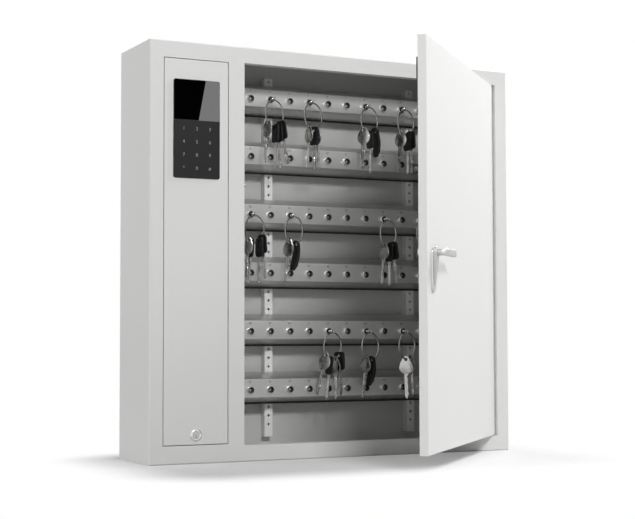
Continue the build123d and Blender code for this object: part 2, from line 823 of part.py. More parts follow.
lip_face_y = front + key_return_depth - return_sheet
buffer_zs = [key_bottom + buffer_height_inset, 0, key_top - buffer_height_inset]
with BuildPart() as door_buffers:
    with BuildSketch(upright_plane(lip_face_y)):
        with Locations(*[(key_left + stop_lip / 2, z) for z in buffer_zs]):
            Circle(buffer_diameter / 2)
    extrude(amount=buffer_thickness)
keep(door_buffers.part, "door_buffers")

# Service door: a pan that fills the left opening and tips out from pins at its top
keypad_x = service_centre_x
keypad_z = top - keypad_centre_drop
cutout_width = keypad_width - 2 * keypad_cutout_inset
cutout_height = keypad_height - 2 * keypad_cutout_inset
keypad_inner_width = cutout_width - 2 * keypad_wall
keypad_inner_height = cutout_height - 2 * keypad_wall
cam_lock_z = bottom + cam_lock_height
service_inside = front + service_door_thickness
with BuildPart() as service_door_panel:
    with BuildSketch(upright_plane(service_inside)):
        rectangle_between(service_door_left, service_door_bottom, service_door_right, service_door_top)
    extrude(amount=service_door_thickness)
    fillet(service_door_panel.faces().sort_by(Axis.Y)[0].edges(), door_edge_radius)
    with BuildSketch(upright_plane(service_inside)):
        rectangle_between(service_door_left + door_skin_sheet, service_door_bottom + door_skin_sheet,
                          service_door_right - door_skin_sheet, service_door_top - door_skin_sheet)
    extrude(amount=service_door_thickness - door_skin_sheet, mode=Mode.SUBTRACT)
    with BuildSketch(upright_plane(front)):
        with Locations((keypad_x, keypad_z)):
            Rectangle(cutout_width, cutout_height)
        with Locations((service_centre_x, cam_lock_z)):
            Circle(cam_lock_body / 2)
    extrude(amount=-2 * door_skin_sheet, mode=Mode.SUBTRACT)
    with BuildSketch(Plane.YZ.offset(service_door_left)):
        with Locations((pivot_y, service_pivot_z)):
            Circle(pin_diameter / 2)
    extrude(amount=service_door_right - service_door_left, mode=Mode.SUBTRACT)
keep(service_door_panel.part, "service_door_panel")

with BuildPart() as service_hinge_pins:
    with BuildSketch(Plane.YZ.offset(service_left - pin_reach)):
        with Locations((pivot_y, service_pivot_z)):
            Circle(pin_diameter / 2)
    extrude(amount=pin_reach + door_gap + pin_seat)
    with BuildSketch(Plane.YZ.offset(service_right + pin_reach)):
        with Locations((pivot_y, service_pivot_z)):
            Circle(pin_diameter / 2)
    extrude(amount=-(pin_reach + door_gap + pin_seat))
keep(service_hinge_pins.part, "service_hinge_pins")

# Keypad unit: a housing through the panel, with a key field and a display glass on its face
keypad_face = front - keypad_base_proud
board_seat = front + keypad_box_depth - keypad_board_sheet - keypad_board_recess
with BuildPart() as keypad_housing:
    with BuildSketch(upright_plane(front)):
        with Locations((keypad_x, keypad_z)):
            RectangleRounded(keypad_width, keypad_height, keypad_corner)
    extrude(amount=keypad_base_proud)
    with BuildSketch(upright_plane(front)):
        with Locations((keypad_x, keypad_z)):
            Rectangle(cutout_width, cutout_height)
    extrude(amount=-keypad_box_depth)
    with BuildSketch(upright_plane(front)):
        with Locations((keypad_x, keypad_z)):
            Rectangle(keypad_inner_width, keypad_inner_height)
    extrude(amount=-keypad_box_depth, mode=Mode.SUBTRACT)
keep(keypad_housing.part, "keypad_housing")

with BuildPart() as keypad_board:
    with BuildSketch(upright_plane(board_seat)):
        with Locations((keypad_x, keypad_z)):
            Rectangle(keypad_inner_width, keypad_inner_height)
    extrude(amount=-keypad_board_sheet)
keep(keypad_board.part, "keypad_board")

display_bottom = keypad_z + keypad_height / 2 - display_height
with BuildPart() as display_glass:
    with BuildSketch(upright_plane(keypad_face)):
        with Locations((keypad_x, keypad_z)):
            RectangleRounded(keypad_width, keypad_height, keypad_corner)
        with Locations((keypad_x, display_bottom + display_height / 2)):
            Rectangle(keypad_width, display_height, mode=Mode.INTERSECT)
    extrude(amount=keypad_overlay)
keep(display_glass.part, "display_glass")

field_height = keypad_height - display_height
with BuildPart() as key_field:
    with BuildSketch(upright_plane(keypad_face)):
        with Locations((keypad_x, keypad_z)):
            RectangleRounded(keypad_width, keypad_height, keypad_corner)
        with Locations((keypad_x, display_bottom - field_height / 2)):
            Rectangle(keypad_width, field_height, mode=Mode.INTERSECT)
    extrude(amount=keypad_overlay)
keep(key_field.part, "key_field")

# Cam lock: barrel and nut held in the panel, plug and cam turning in the barrel
barrel_back = front + cam_lock_length
cam_front = front + service_return_depth + cam_gap
plug_face = front - cam_lock_head_proud + plug_recess
with BuildPart() as cam_lock_barrel:
    with BuildSketch(upright_plane(front)):
        with Locations((service_centre_x, cam_lock_z)):
            Circle(cam_lock_head / 2)
    extrude(amount=cam_lock_head_proud)
    chamfer(cam_lock_barrel.faces().sort_by(Axis.Y)[0].edges(), cam_lock_bevel)
    with BuildSketch(upright_plane(front)):
        with Locations((service_centre_x, cam_lock_z)):
            Circle(cam_lock_body / 2)
    extrude(amount=-cam_lock_length)
    with BuildSketch(upright_plane(barrel_back)):
        with Locations((service_centre_x, cam_lock_z)):
            Circle(plug_diameter / 2 + plug_clearance)
    extrude(amount=cam_lock_length + cam_lock_head_proud, mode=Mode.SUBTRACT)
keep(cam_lock_barrel.part, "cam_lock_barrel")

with BuildPart() as cam_lock_nut:
    with BuildSketch(upright_plane(front + door_skin_sheet)):
        with Locations((service_centre_x, cam_lock_z)):
            RegularPolygon(cam_nut_width / 2, 6, major_radius=False)
            Circle(cam_lock_body / 2, mode=Mode.SUBTRACT)
    extrude(amount=-cam_nut_thickness)
keep(cam_lock_nut.part, "cam_lock_nut")

with BuildPart() as cam_lock_plug:
    with BuildSketch(upright_plane(cam_front)):
        with Locations((service_centre_x, cam_lock_z)):
            Circle(plug_diameter / 2)
    extrude(amount=cam_front - plug_face)
    with BuildSketch(upright_plane(plug_face)):
        rectangle_between(service_centre_x - keyway_width / 2, cam_lock_z - keyway_drop,
                          service_centre_x + keyway_width / 2, cam_lock_z + keyway_rise)
    extrude(amount=-keyway_depth, mode=Mode.SUBTRACT)
    with BuildSketch(upright_plane(cam_front)):
        with Locations((service_centre_x, cam_lock_z)):
            Circle(screw_diameter / 2)
    extrude(amount=screw_length - lock_cam_sheet, mode=Mode.SUBTRACT)
keep(cam_lock_plug.part, "cam_lock_plug")

with BuildPart() as cam_lock_cam:
    with BuildSketch(upright_plane(cam_front)):
        with Locations((service_centre_x, cam_lock_z)):
            Circle(lock_cam_width / 2)
        with Locations((service_centre_x + lock_cam_reach / 2, cam_lock_z)):
            Rectangle(lock_cam_reach, lock_cam_width)
        with Locations((service_centre_x, cam_lock_z)):
            Circle(screw_diameter / 2, mode=Mode.SUBTRACT)
    extrude(amount=-lock_cam_sheet)
keep(cam_lock_cam.part, "cam_lock_cam")

with BuildPart() as cam_lock_screw:
    with BuildSketch(upright_plane(cam_front + lock_cam_sheet)):
        with Locations((service_centre_x, cam_lock_z)):
            Circle(screw_head_diameter / 2)
    extrude(amount=-screw_head_height)
    with BuildSketch(upright_plane(cam_front + lock_cam_sheet)):
        with Locations((service_centre_x, cam_lock_z)):
            Circle(screw_diameter / 2)
    extrude(amount=screw_length)
keep(cam_lock_screw.part, "cam_lock_screw")

# Key door, drawn closed: a pan, an inner panel and two stiffeners between them
key_inside = front + key_door_thickness
spindle_x = key_door_left + handle_edge_distance
spindle_z = bottom + handle_height
spindle_hole = spindle_side * 2 ** 0.5 / 2 + spindle_hole_clearance
with BuildPart() as key_door_skin:
    with BuildSketch(upright_plane(key_inside)):
        rectangle_between(key_door_left, key_door_bottom, key_door_right, key_door_top)
    extrude(amount=key_door_thickness)
    fillet(key_door_skin.faces().sort_by(Axis.Y)[0].edges(), door_edge_radius)
    with BuildSketch(upright_plane(key_inside)):
        rectangle_between(key_door_left + door_skin_sheet, key_door_bottom + door_skin_sheet,
                          key_door_right - door_skin_sheet, key_door_top - door_skin_sheet)
    extrude(amount=key_door_thickness - door_skin_sheet, mode=Mode.SUBTRACT)
    with BuildSketch(upright_plane(front)):
        with Locations((spindle_x, spindle_z)):
            Circle(spindle_hole)
    extrude(amount=-2 * door_skin_sheet, mode=Mode.SUBTRACT)
    with BuildSketch(Plane.XY.offset(key_door_bottom)):
        with Locations((key_pivot_x, pivot_y)):
            Circle(pin_diameter / 2)
    extrude(amount=key_door_top - key_door_bottom, mode=Mode.SUBTRACT)
keep_on_key_door(key_door_skin.part, "key_door_skin")

with BuildPart() as key_door_inner_panel:
    with BuildSketch(upright_plane(key_inside)):
        rectangle_between(key_door_left + door_skin_sheet, key_door_bottom + door_skin_sheet,
                          key_door_right - door_skin_sheet, key_door_top - door_skin_sheet)
        with Locations((spindle_x, spindle_z)):
            Circle(spindle_hole, mode=Mode.SUBTRACT)
    extrude(amount=inner_panel_sheet)
keep_on_key_door(key_door_inner_panel.part, "key_door_inner_panel")

stiffener_depth = key_door_thickness - door_skin_sheet - inner_panel_sheet
stiffener_y = front + door_skin_sheet + stiffener_depth / 2
stiffener_length = key_door_top - key_door_bottom - 2 * stiffener_end_gap
with BuildPart() as key_door_stiffeners:
    with BuildSketch(Plane.XY.offset(-stiffener_length / 2)):
        for x in (key_door_left + stiffener_inset, key_door_right - stiffener_inset):
            with Locations((x, stiffener_y)):
                Rectangle(stiffener_width, stiffener_depth)
            with Locations((x, stiffener_y + stiffener_sheet)):
                Rectangle(stiffener_width - 2 * stiffener_sheet, stiffener_depth, mode=Mode.SUBTRACT)
            flange_y = stiffener_y + (stiffener_depth - stiffener_sheet) / 2
            flange_x = (stiffener_width + stiffener_flange) / 2
            with Locations((x - flange_x, flange_y), (x + flange_x, flange_y)):
                Rectangle(stiffener_flange, stiffener_sheet)
    extrude(amount=stiffener_length)
keep_on_key_door(key_door_stiffeners.part, "key_door_stiffeners")

with BuildPart() as key_door_pins:
    with BuildSketch(Plane.XY.offset(key_top + pin_reach)):
        with Locations((key_pivot_x, pivot_y)):
            Circle(pin_diameter / 2)
    extrude(amount=-(pin_reach + door_gap + pin_seat))
    with BuildSketch(Plane.XY.offset(key_bottom - pin_reach)):
        with Locations((key_pivot_x, pivot_y)):
            Circle(pin_diameter / 2)
    extrude(amount=pin_reach + door_gap + pin_seat)
keep_on_key_door(key_door_pins.part, "key_door_pins")

# Striker and magnet on the inner panel
with BuildPart() as striker:
    with BuildSketch(Plane.XY.offset(lock_z - striker_width / 2)):
        with Locations((striker_left + striker_sheet / 2, key_inside + striker_depth / 2)):
            Rectangle(striker_sheet, striker_depth)
        with Locations((striker_left + striker_foot / 2, key_inside + striker_sheet / 2)):
            Rectangle(striker_foot, striker_sheet)
    extrude(amount=striker_width)
    with BuildSketch(Plane.YZ.offset(striker_left)):
        with Locations((bolt_y, lock_z)):
            Circle(bolt_diameter / 2 + striker_hole_clearance)
    extrude(amount=striker_sheet, mode=Mode.SUBTRACT)
keep_on_key_door(striker.part, "striker")

with BuildPart() as sensor_magnet:
    with BuildSketch(upright_plane(key_inside)):
        with Locations((striker_left + striker_foot / 2, sensor_z)):
            Rectangle(sensor_size, sensor_length)
    extrude(amount=-sensor_thickness)
keep_on_key_door(sensor_magnet.part, "sensor_magnet")

# Handle plate, with the boss that carries the lever's neck
plate_z = spindle_z + handle_plate_above - handle_plate_height / 2
with BuildPart() as handle_plate:
    with BuildSketch(upright_plane(front)):
        with Locations((spindle_x, plate_z)):
            RectangleRounded(handle_plate_width, handle_plate_height, handle_plate_corner)
        with Locations((spindle_x, spindle_z)):
            Circle(neck_diameter / 2 + neck_clearance, mode=Mode.SUBTRACT)
    extrude(amount=handle_plate_thickness)
    with BuildSketch(upright_plane(front - handle_plate_thickness)):
        with Locations((spindle_x, spindle_z)):
            Circle(boss_diameter / 2)
            Circle(neck_diameter / 2 + neck_clearance, mode=Mode.SUBTRACT)
    extrude(amount=boss_height)
keep_on_key_door(handle_plate.part, "handle_plate")

# Lever, pointing to the hinge while the door is unlatched, with its spindle and latch cam
grip_front = front - grip_reach
latch_front = front + key_return_depth + cam_gap
latch_back = latch_front + latch_cam_sheet
with BuildPart() as handle_lever:
    with BuildSketch(upright_plane(grip_front + grip_thickness)):
        rectangle_between(spindle_x - grip_height / 2, spindle_z - grip_height / 2,
                          spindle_x + grip_length, spindle_z + grip_height / 2)
    extrude(amount=grip_thickness)
    fillet(handle_lever.edges().filter_by(Axis.X), grip_fillet)
    with BuildSketch(upright_plane(front - hub_gap)):
        with Locations((spindle_x, spindle_z)):
            Circle(neck_diameter / 2)
    extrude(amount=grip_reach - grip_thickness - hub_gap)
    with BuildSketch(upright_plane(front)):
        with Locations((spindle_x, spindle_z)):
            Rectangle(spindle_side, spindle_side)
    extrude(amount=spindle_in_lever, mode=Mode.SUBTRACT)
keep_on_key_door(handle_lever.part, "handle_lever")

with BuildPart() as handle_spindle:
    with BuildSketch(upright_plane(latch_back)):
        with Locations((spindle_x, spindle_z)):
            Rectangle(spindle_side, spindle_side)
    extrude(amount=latch_back - front + spindle_in_lever)
    with BuildSketch(upright_plane(latch_front)):
        with Locations((spindle_x, spindle_z)):
            Circle(hub_diameter / 2)
    extrude(amount=latch_front - key_inside - hub_gap)
    with BuildSketch(upright_plane(latch_back)):
        with Locations((spindle_x, spindle_z)):
            Circle(screw_diameter / 2)
    extrude(amount=screw_length, mode=Mode.SUBTRACT)
keep_on_key_door(handle_spindle.part, "handle_spindle")

with BuildPart() as latch_cam:
    with BuildSketch(upright_plane(latch_front)):
        with Locations((spindle_x, spindle_z)):
            Circle(latch_cam_width / 2)
        with Locations((spindle_x, spindle_z - latch_cam_reach / 2)):
            Rectangle(latch_cam_width, latch_cam_reach)
        with Locations((spindle_x, spindle_z)):
            Rectangle(spindle_side, spindle_side, mode=Mode.SUBTRACT)
    extrude(amount=-latch_cam_sheet)
keep_on_key_door(latch_cam.part, "latch_cam")

with BuildPart() as latch_screw:
    with BuildSketch(upright_plane(latch_back)):
        with Locations((spindle_x, spindle_z)):
            Circle(latch_screw_head / 2)
    extrude(amount=-latch_screw_height)
    with BuildSketch(upright_plane(latch_back)):
        with Locations((spindle_x, spindle_z)):
            Circle(screw_diameter / 2)
    extrude(amount=screw_length)
keep_on_key_door(latch_screw.part, "latch_screw")
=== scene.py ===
import json
import math

import bmesh
import bpy
import numpy as np
from mathutils import Matrix, Vector


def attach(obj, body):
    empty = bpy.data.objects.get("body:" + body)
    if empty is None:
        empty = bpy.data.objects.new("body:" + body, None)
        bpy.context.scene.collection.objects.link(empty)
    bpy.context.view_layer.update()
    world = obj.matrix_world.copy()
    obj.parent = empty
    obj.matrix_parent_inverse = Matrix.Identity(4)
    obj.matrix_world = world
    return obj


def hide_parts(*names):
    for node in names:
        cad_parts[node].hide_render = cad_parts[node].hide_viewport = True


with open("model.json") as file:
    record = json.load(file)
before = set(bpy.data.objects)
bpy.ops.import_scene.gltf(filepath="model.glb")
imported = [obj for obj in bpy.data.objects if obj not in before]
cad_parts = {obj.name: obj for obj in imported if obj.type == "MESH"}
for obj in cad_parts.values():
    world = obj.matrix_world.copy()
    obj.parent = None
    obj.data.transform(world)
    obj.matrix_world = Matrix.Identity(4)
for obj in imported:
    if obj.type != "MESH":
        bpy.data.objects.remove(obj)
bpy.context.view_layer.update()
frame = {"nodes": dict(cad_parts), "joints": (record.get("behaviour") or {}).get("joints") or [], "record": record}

mm = 0.001

camera = {"focal": 1462.12, "width": 635.0, "sensor": 36.0, "clip": (0.05, 60.0),
          "place": (-1.20903, -2.46964, -0.14115), "yaw": 26.6639, "pitch": 2.9257, "roll": -0.1101}


def makeCamera(p):
    # ahead is (sin yaw cos pitch, cos yaw cos pitch, sin pitch); the other two axes roll about it
    yaw, pitch, roll = (math.radians(p[k]) for k in ("yaw", "pitch", "roll"))
    ahead = Vector((math.sin(yaw) * math.cos(pitch), math.cos(yaw) * math.cos(pitch),
                    math.sin(pitch)))
    side = Vector((math.cos(yaw), -math.sin(yaw), 0.0))
    rise = side.cross(ahead)
    right = side * math.cos(roll) + rise * math.sin(roll)
    up = rise * math.cos(roll) - side * math.sin(roll)
    data = bpy.data.cameras.new("camera")
    data.sensor_width = p["sensor"]
    data.sensor_fit = "HORIZONTAL"
    data.lens = p["sensor"] * p["focal"] / p["width"]
    data.clip_start, data.clip_end = p["clip"]
    ob = bpy.data.objects.new("camera", data)
    rows = [(right[k], up[k], -ahead[k], p["place"][k]) for k in range(3)]
    ob.matrix_world = Matrix(rows + [(0, 0, 0, 1)])
    bpy.context.collection.objects.link(ob)
    bpy.context.scene.camera = ob


makeCamera(camera)
bpy.context.scene.view_settings.view_transform = "Standard"
print("camera set")


class Shell:
    # gathers point arrays and faces into one mesh, each part with its own material number
    def __init__(self):
        self.points, self.faces, self.marks, self.count = [], [], [], 0

    def add(self, points, faces, mark=0):
        points = np.asarray(points, float).reshape(-1, 3)
        self.points.append(points)
        self.faces += [tuple(int(v) + self.count for v in f) for f in faces]
        self.marks += [mark] * len(faces)
        self.count += len(points)

    def grid(self, points, closeRows=False, caps=(), mark=0):
        # points has the shape (rows, cols, 3) and each row is a closed ring; closeRows joins the
        # last row to the first, and caps names the rows that get one flat face
        rows, cols = points.shape[:2]
        i, j = np.meshgrid(np.arange(rows if closeRows else rows - 1), np.arange(cols),
                           indexing="ij")
        after, beside = (i + 1) % rows, (j + 1) % cols
        corners = (i * cols + j, i * cols + beside, after * cols + beside, after * cols + j)
        faces = [tuple(f) for f in np.stack(corners, -1).reshape(-1, 4)]
        for row in caps:
            ring = [(row % rows) * cols + k for k in range(cols)]
            faces.append(tuple(ring if row == 0 else ring[::-1]))
        self.add(points, faces, mark)

    def build(self, name, materials, smooth, welded=True):
        mesh = bpy.data.meshes.new(name)
        mesh.from_pydata(np.concatenate(self.points).tolist(), [], self.faces)
        for m in materials:
            mesh.materials.append(m)
        mesh.polygons.foreach_set("material_index", np.array(self.marks, dtype=np.int32))
        mesh.polygons.foreach_set("use_smooth", np.ones(len(self.faces), dtype=bool))
        if welded:
            bm = bmesh.new()
            bm.from_mesh(mesh)
            bmesh.ops.remove_doubles(bm, verts=bm.verts, dist=1e-6)
            bmesh.ops.recalc_face_normals(bm, faces=bm.faces)
            bm.to_mesh(mesh)
            bm.free()
        mesh.set_sharp_from_angle(angle=math.radians(smooth))
        mesh.update()
        ob = bpy.data.objects.new(name, mesh)
        bpy.context.collection.objects.link(ob)
        return ob


def finishPiece(ob, body, slotName, *nodes):
    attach(ob, body)
    if nodes:
        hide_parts(*nodes)


def circleAngles(sides):
    return np.linspace(0, 2 * math.pi, sides, endpoint=False)


def lathe(profile, sides):
    # (radius, height) pairs turned about +Z: (r cos a, r sin a, h), rows along the profile
    profile = np.asarray(profile, float)
    a = circleAngles(sides)
    r, h = profile[:, 0][:, None], profile[:, 1][:, None]
    return np.stack((r * np.cos(a), r * np.sin(a), h + 0 * a), -1)


def toFront(points, x, y, z):
    # turns a shape made about +Z so that its axis points at the viewer, -Y, and sets it at x, y, z
    p = np.asarray(points)
    return np.stack((p[..., 0] + x, y - p[..., 2], p[..., 1] + z), -1)


def alongX(xs, section):
    # a section of (y, z) points set at each of the xs, in metres
    parts = np.broadcast_arrays(xs[:, None], section[:, 0][None], section[:, 1][None])
    return np.stack(parts, -1) * mm


def unitSteps(path):
    # the direction of travel at each point of a path
    d = np.gradient(path, axis=0)
    return d / np.linalg.norm(d, axis=1)[:, None]


def roundedOutline(width, height, radius, steps=8):
    # a rectangle whose corners are quarter circles, anticlockwise, as (n, 2) points
    out = []
    for cx, cy, start in ((1, 1, 0), (-1, 1, 90), (-1, -1, 180), (1, -1, 270)):
        a = np.radians(start + np.linspace(0, 90, steps))
        out.append(np.stack((cx * (width / 2 - radius) + radius * np.cos(a),
                             cy * (height / 2 - radius) + radius * np.sin(a)), -1))
    return np.concatenate(out)


def plateSlab(outline, front, thick, bevel):
    # a flat slab on the plane y = front, rising towards the viewer: rim rings, then a rounded edge
    centre = outline.mean(axis=0)
    d = outline - centre
    reach = np.maximum(np.abs(d).max(axis=0), 1e-6)
    rings = []
    for inset, rise in ((0, 0), (0, thick - bevel), (bevel * 0.3, thick - bevel * 0.3),
                        (bevel, thick)):
        flat = centre + d * (1 - inset / reach)
        rings.append(np.column_stack((flat[:, 0], np.full(len(outline), front - rise),
                                      flat[:, 1])))
    return np.array(rings)


keyDoor = {"joint": "key_door_hinge", "open": 45.0}


def swingOut(points, p):
    # turns points of the closed key door about its hinge line into the stored pose
    pivot = next(j["pos_m"] for j in frame["joints"] if j["name"] == p["joint"])
    c, s = math.cos(math.radians(p["open"])), math.sin(math.radians(p["open"]))
    points = np.asarray(points, float)
    dx, dy = points[..., 0] - pivot[0], points[..., 1] - pivot[1]
    return np.stack((pivot[0] + dx * c - dy * s, pivot[1] + dx * s + dy * c, points[..., 2]), -1)


def feed(tree, socket, value):
    # a node's output is linked to the socket, and a plain value is set on it
    if isinstance(value, bpy.types.NodeSocket):
        tree.links.new(value, socket)
    else:
        socket.default_value = value


def mathNode(tree, op, *terms, clamp=False):
    n = tree.nodes.new("ShaderNodeMath")
    n.operation = op
    n.use_clamp = clamp
    for k, term in enumerate(terms):
        feed(tree, n.inputs[k], term)
    return n.outputs[0]


def vectorNode(tree, op, vector, other=None, slot=1):
    n = tree.nodes.new("ShaderNodeVectorMath")
    n.operation = op
    feed(tree, n.inputs[0], vector)
    if other is not None:
        feed(tree, n.inputs[slot], other)
    return n.outputs["Value" if op == "LENGTH" else "Vector"]


def noiseNode(tree, vector, scale, detail, rough=0.55):
    n = tree.nodes.new("ShaderNodeTexNoise")
    n.inputs["Detail"].default_value = detail
    n.inputs["Roughness"].default_value = rough
    feed(tree, n.inputs["Vector"], vector)
    feed(tree, n.inputs["Scale"], scale)
    return n.outputs["Fac"]


def newGroup(name, extra):
    # a group that takes a place, a colour and the extra inputs
    tree = bpy.data.node_groups.new(name, "ShaderNodeTree")
    inputs = [("Vector", "NodeSocketVector", (0, 0, 0)), ("Color", "NodeSocketColor", (1, 1, 1, 1))]
    for label, value in extra.items():
        kind = "NodeSocketVector" if isinstance(value, tuple) else "NodeSocketFloat"
        inputs.append((label, kind, value))
    for label, kind, value in inputs:
        socket = tree.interface.new_socket(name=label, in_out="INPUT", socket_type=kind)
        socket.default_value = value
    return tree, tree.nodes.new("NodeGroupInput").outputs


def closeGroup(tree, color, roughness, height):
    # the three things that every group gives
    given = (("Color", "NodeSocketColor", color), ("Roughness", "NodeSocketFloat", roughness),
             ("Height", "NodeSocketFloat", height))
    for label, kind, value in given:
        tree.interface.new_socket(name=label, in_out="OUTPUT", socket_type=kind)
    gout = tree.nodes.new("NodeGroupOutput")
    for label, kind, value in given:
        tree.links.new(value, gout.inputs[label])
    return tree


coatTexture = {"slowShare": 0.28, "swell": 0.8, "wideScale": 5.0, "glossDrift": 0.12}
brushTexture = {"smudgeScale": 60.0, "smudge": 0.3}
grainTexture = {"cloudScale": 35.0, "clean": 0.35, "glossDrift": 0.15}


def makeCoatGroup(p):
    # powder coat: a fine orange peel over a slower swell, and a faint drift of tone
    tree, given = newGroup("coatTexture", {"Peel Scale": 900.0, "Drift": 0.02, "Rough": 0.42})
    place, peel = given["Vector"], given["Peel Scale"]
    fine = noiseNode(tree, place, peel, 2.0)
    slow = noiseNode(tree, place, mathNode(tree, "MULTIPLY", peel, p["slowShare"]), 1.0)
    height = mathNode(tree, "MULTIPLY_ADD", slow, p["swell"], fine)
    shift = mathNode(tree, "SUBTRACT", noiseNode(tree, place, p["wideScale"], 3.0), 0.5)
    tone = mathNode(tree, "MULTIPLY_ADD", shift, given["Drift"], 1.0)
    rough = mathNode(tree, "MULTIPLY_ADD", shift, p["glossDrift"], given["Rough"])
    return closeGroup(tree, vectorNode(tree, "SCALE", given["Color"], tone, "Scale"), rough, height)


def makeBrushGroup(p):
    # metal: fine noise, drawn out along one axis where it is worked, with slow smudges in the gloss
    tree, given = newGroup("brushedTexture", {"Along": (1, 1, 1), "Scale": 400.0, "Rough": 0.3,
                                              "Tone": 0.12})
    place = given["Vector"]
    drawn = vectorNode(tree, "MULTIPLY", place, given["Along"])
    grain = noiseNode(tree, drawn, given["Scale"], 3.0)
    shift = mathNode(tree, "SUBTRACT", grain, 0.5)
    tone = mathNode(tree, "MULTIPLY_ADD", shift, given["Tone"], 1.0)
    smudge = mathNode(tree, "SUBTRACT", noiseNode(tree, place, p["smudgeScale"], 3.0), 0.5)
    rough = mathNode(tree, "MULTIPLY_ADD", smudge, p["smudge"], given["Rough"])
    return closeGroup(tree, vectorNode(tree, "SCALE", given["Color"], tone, "Scale"), rough, grain)


def makeGrainGroup(p):
    # moulded plastic: a leather-fine grain from cells, and a little dust lightening the tone
    tree, given = newGroup("plasticTexture", {"Scale": 900.0, "Rough": 0.5, "Dust": 0.03})
    place = given["Vector"]
    cells = tree.nodes.new("ShaderNodeTexVoronoi")
    feed(tree, cells.inputs["Vector"], place)
    feed(tree, cells.inputs["Scale"], given["Scale"])
    cloud = noiseNode(tree, place, p["cloudScale"], 4.0)
    dusty = mathNode(tree, "SUBTRACT", cloud, p["clean"], clamp=True)
    dust = mathNode(tree, "MULTIPLY", dusty, given["Dust"])
    color = vectorNode(tree, "ADD", given["Color"], dust)
    rough = mathNode(tree, "MULTIPLY_ADD", cloud, p["glossDrift"], given["Rough"])
    return closeGroup(tree, color, rough, cells.outputs["Distance"])


groups = {"coat": makeCoatGroup(coatTexture), "brush": makeBrushGroup(brushTexture),
          "grain": makeGrainGroup(grainTexture)}


def surface(name, group, color, values, sockets, bump, distance=0.0002):
    # a Principled surface whose colour, roughness and bump come from one of the shared groups
    mat = bpy.data.materials.new(name)
    mat.use_nodes = True
    tree = mat.node_tree
    shader = tree.nodes["Principled BSDF"]
    g = tree.nodes.new("ShaderNodeGroup")
    g.node_tree = groups[group]
    coords = tree.nodes.new("ShaderNodeTexCoord")
    tree.links.new(coords.outputs["Object"], g.inputs["Vector"])
    g.inputs["Color"].default_value = (*color, 1.0)
    for key, value in values.items():
        g.inputs[key].default_value = value
    tree.links.new(g.outputs["Color"], shader.inputs["Base Color"])
    tree.links.new(g.outputs["Roughness"], shader.inputs["Roughness"])
    for key, value in sockets.items():
        shader.inputs[key].default_value = value
    if bump:
        b = tree.nodes.new("ShaderNodeBump")
        b.inputs["Strength"].default_value = bump
        b.inputs["Distance"].default_value = distance
        tree.links.new(g.outputs["Height"], b.inputs["Height"])
        tree.links.new(b.outputs["Normal"], shader.inputs["Normal"])
    mat.diffuse_color = (*color, 1.0)
    return mat


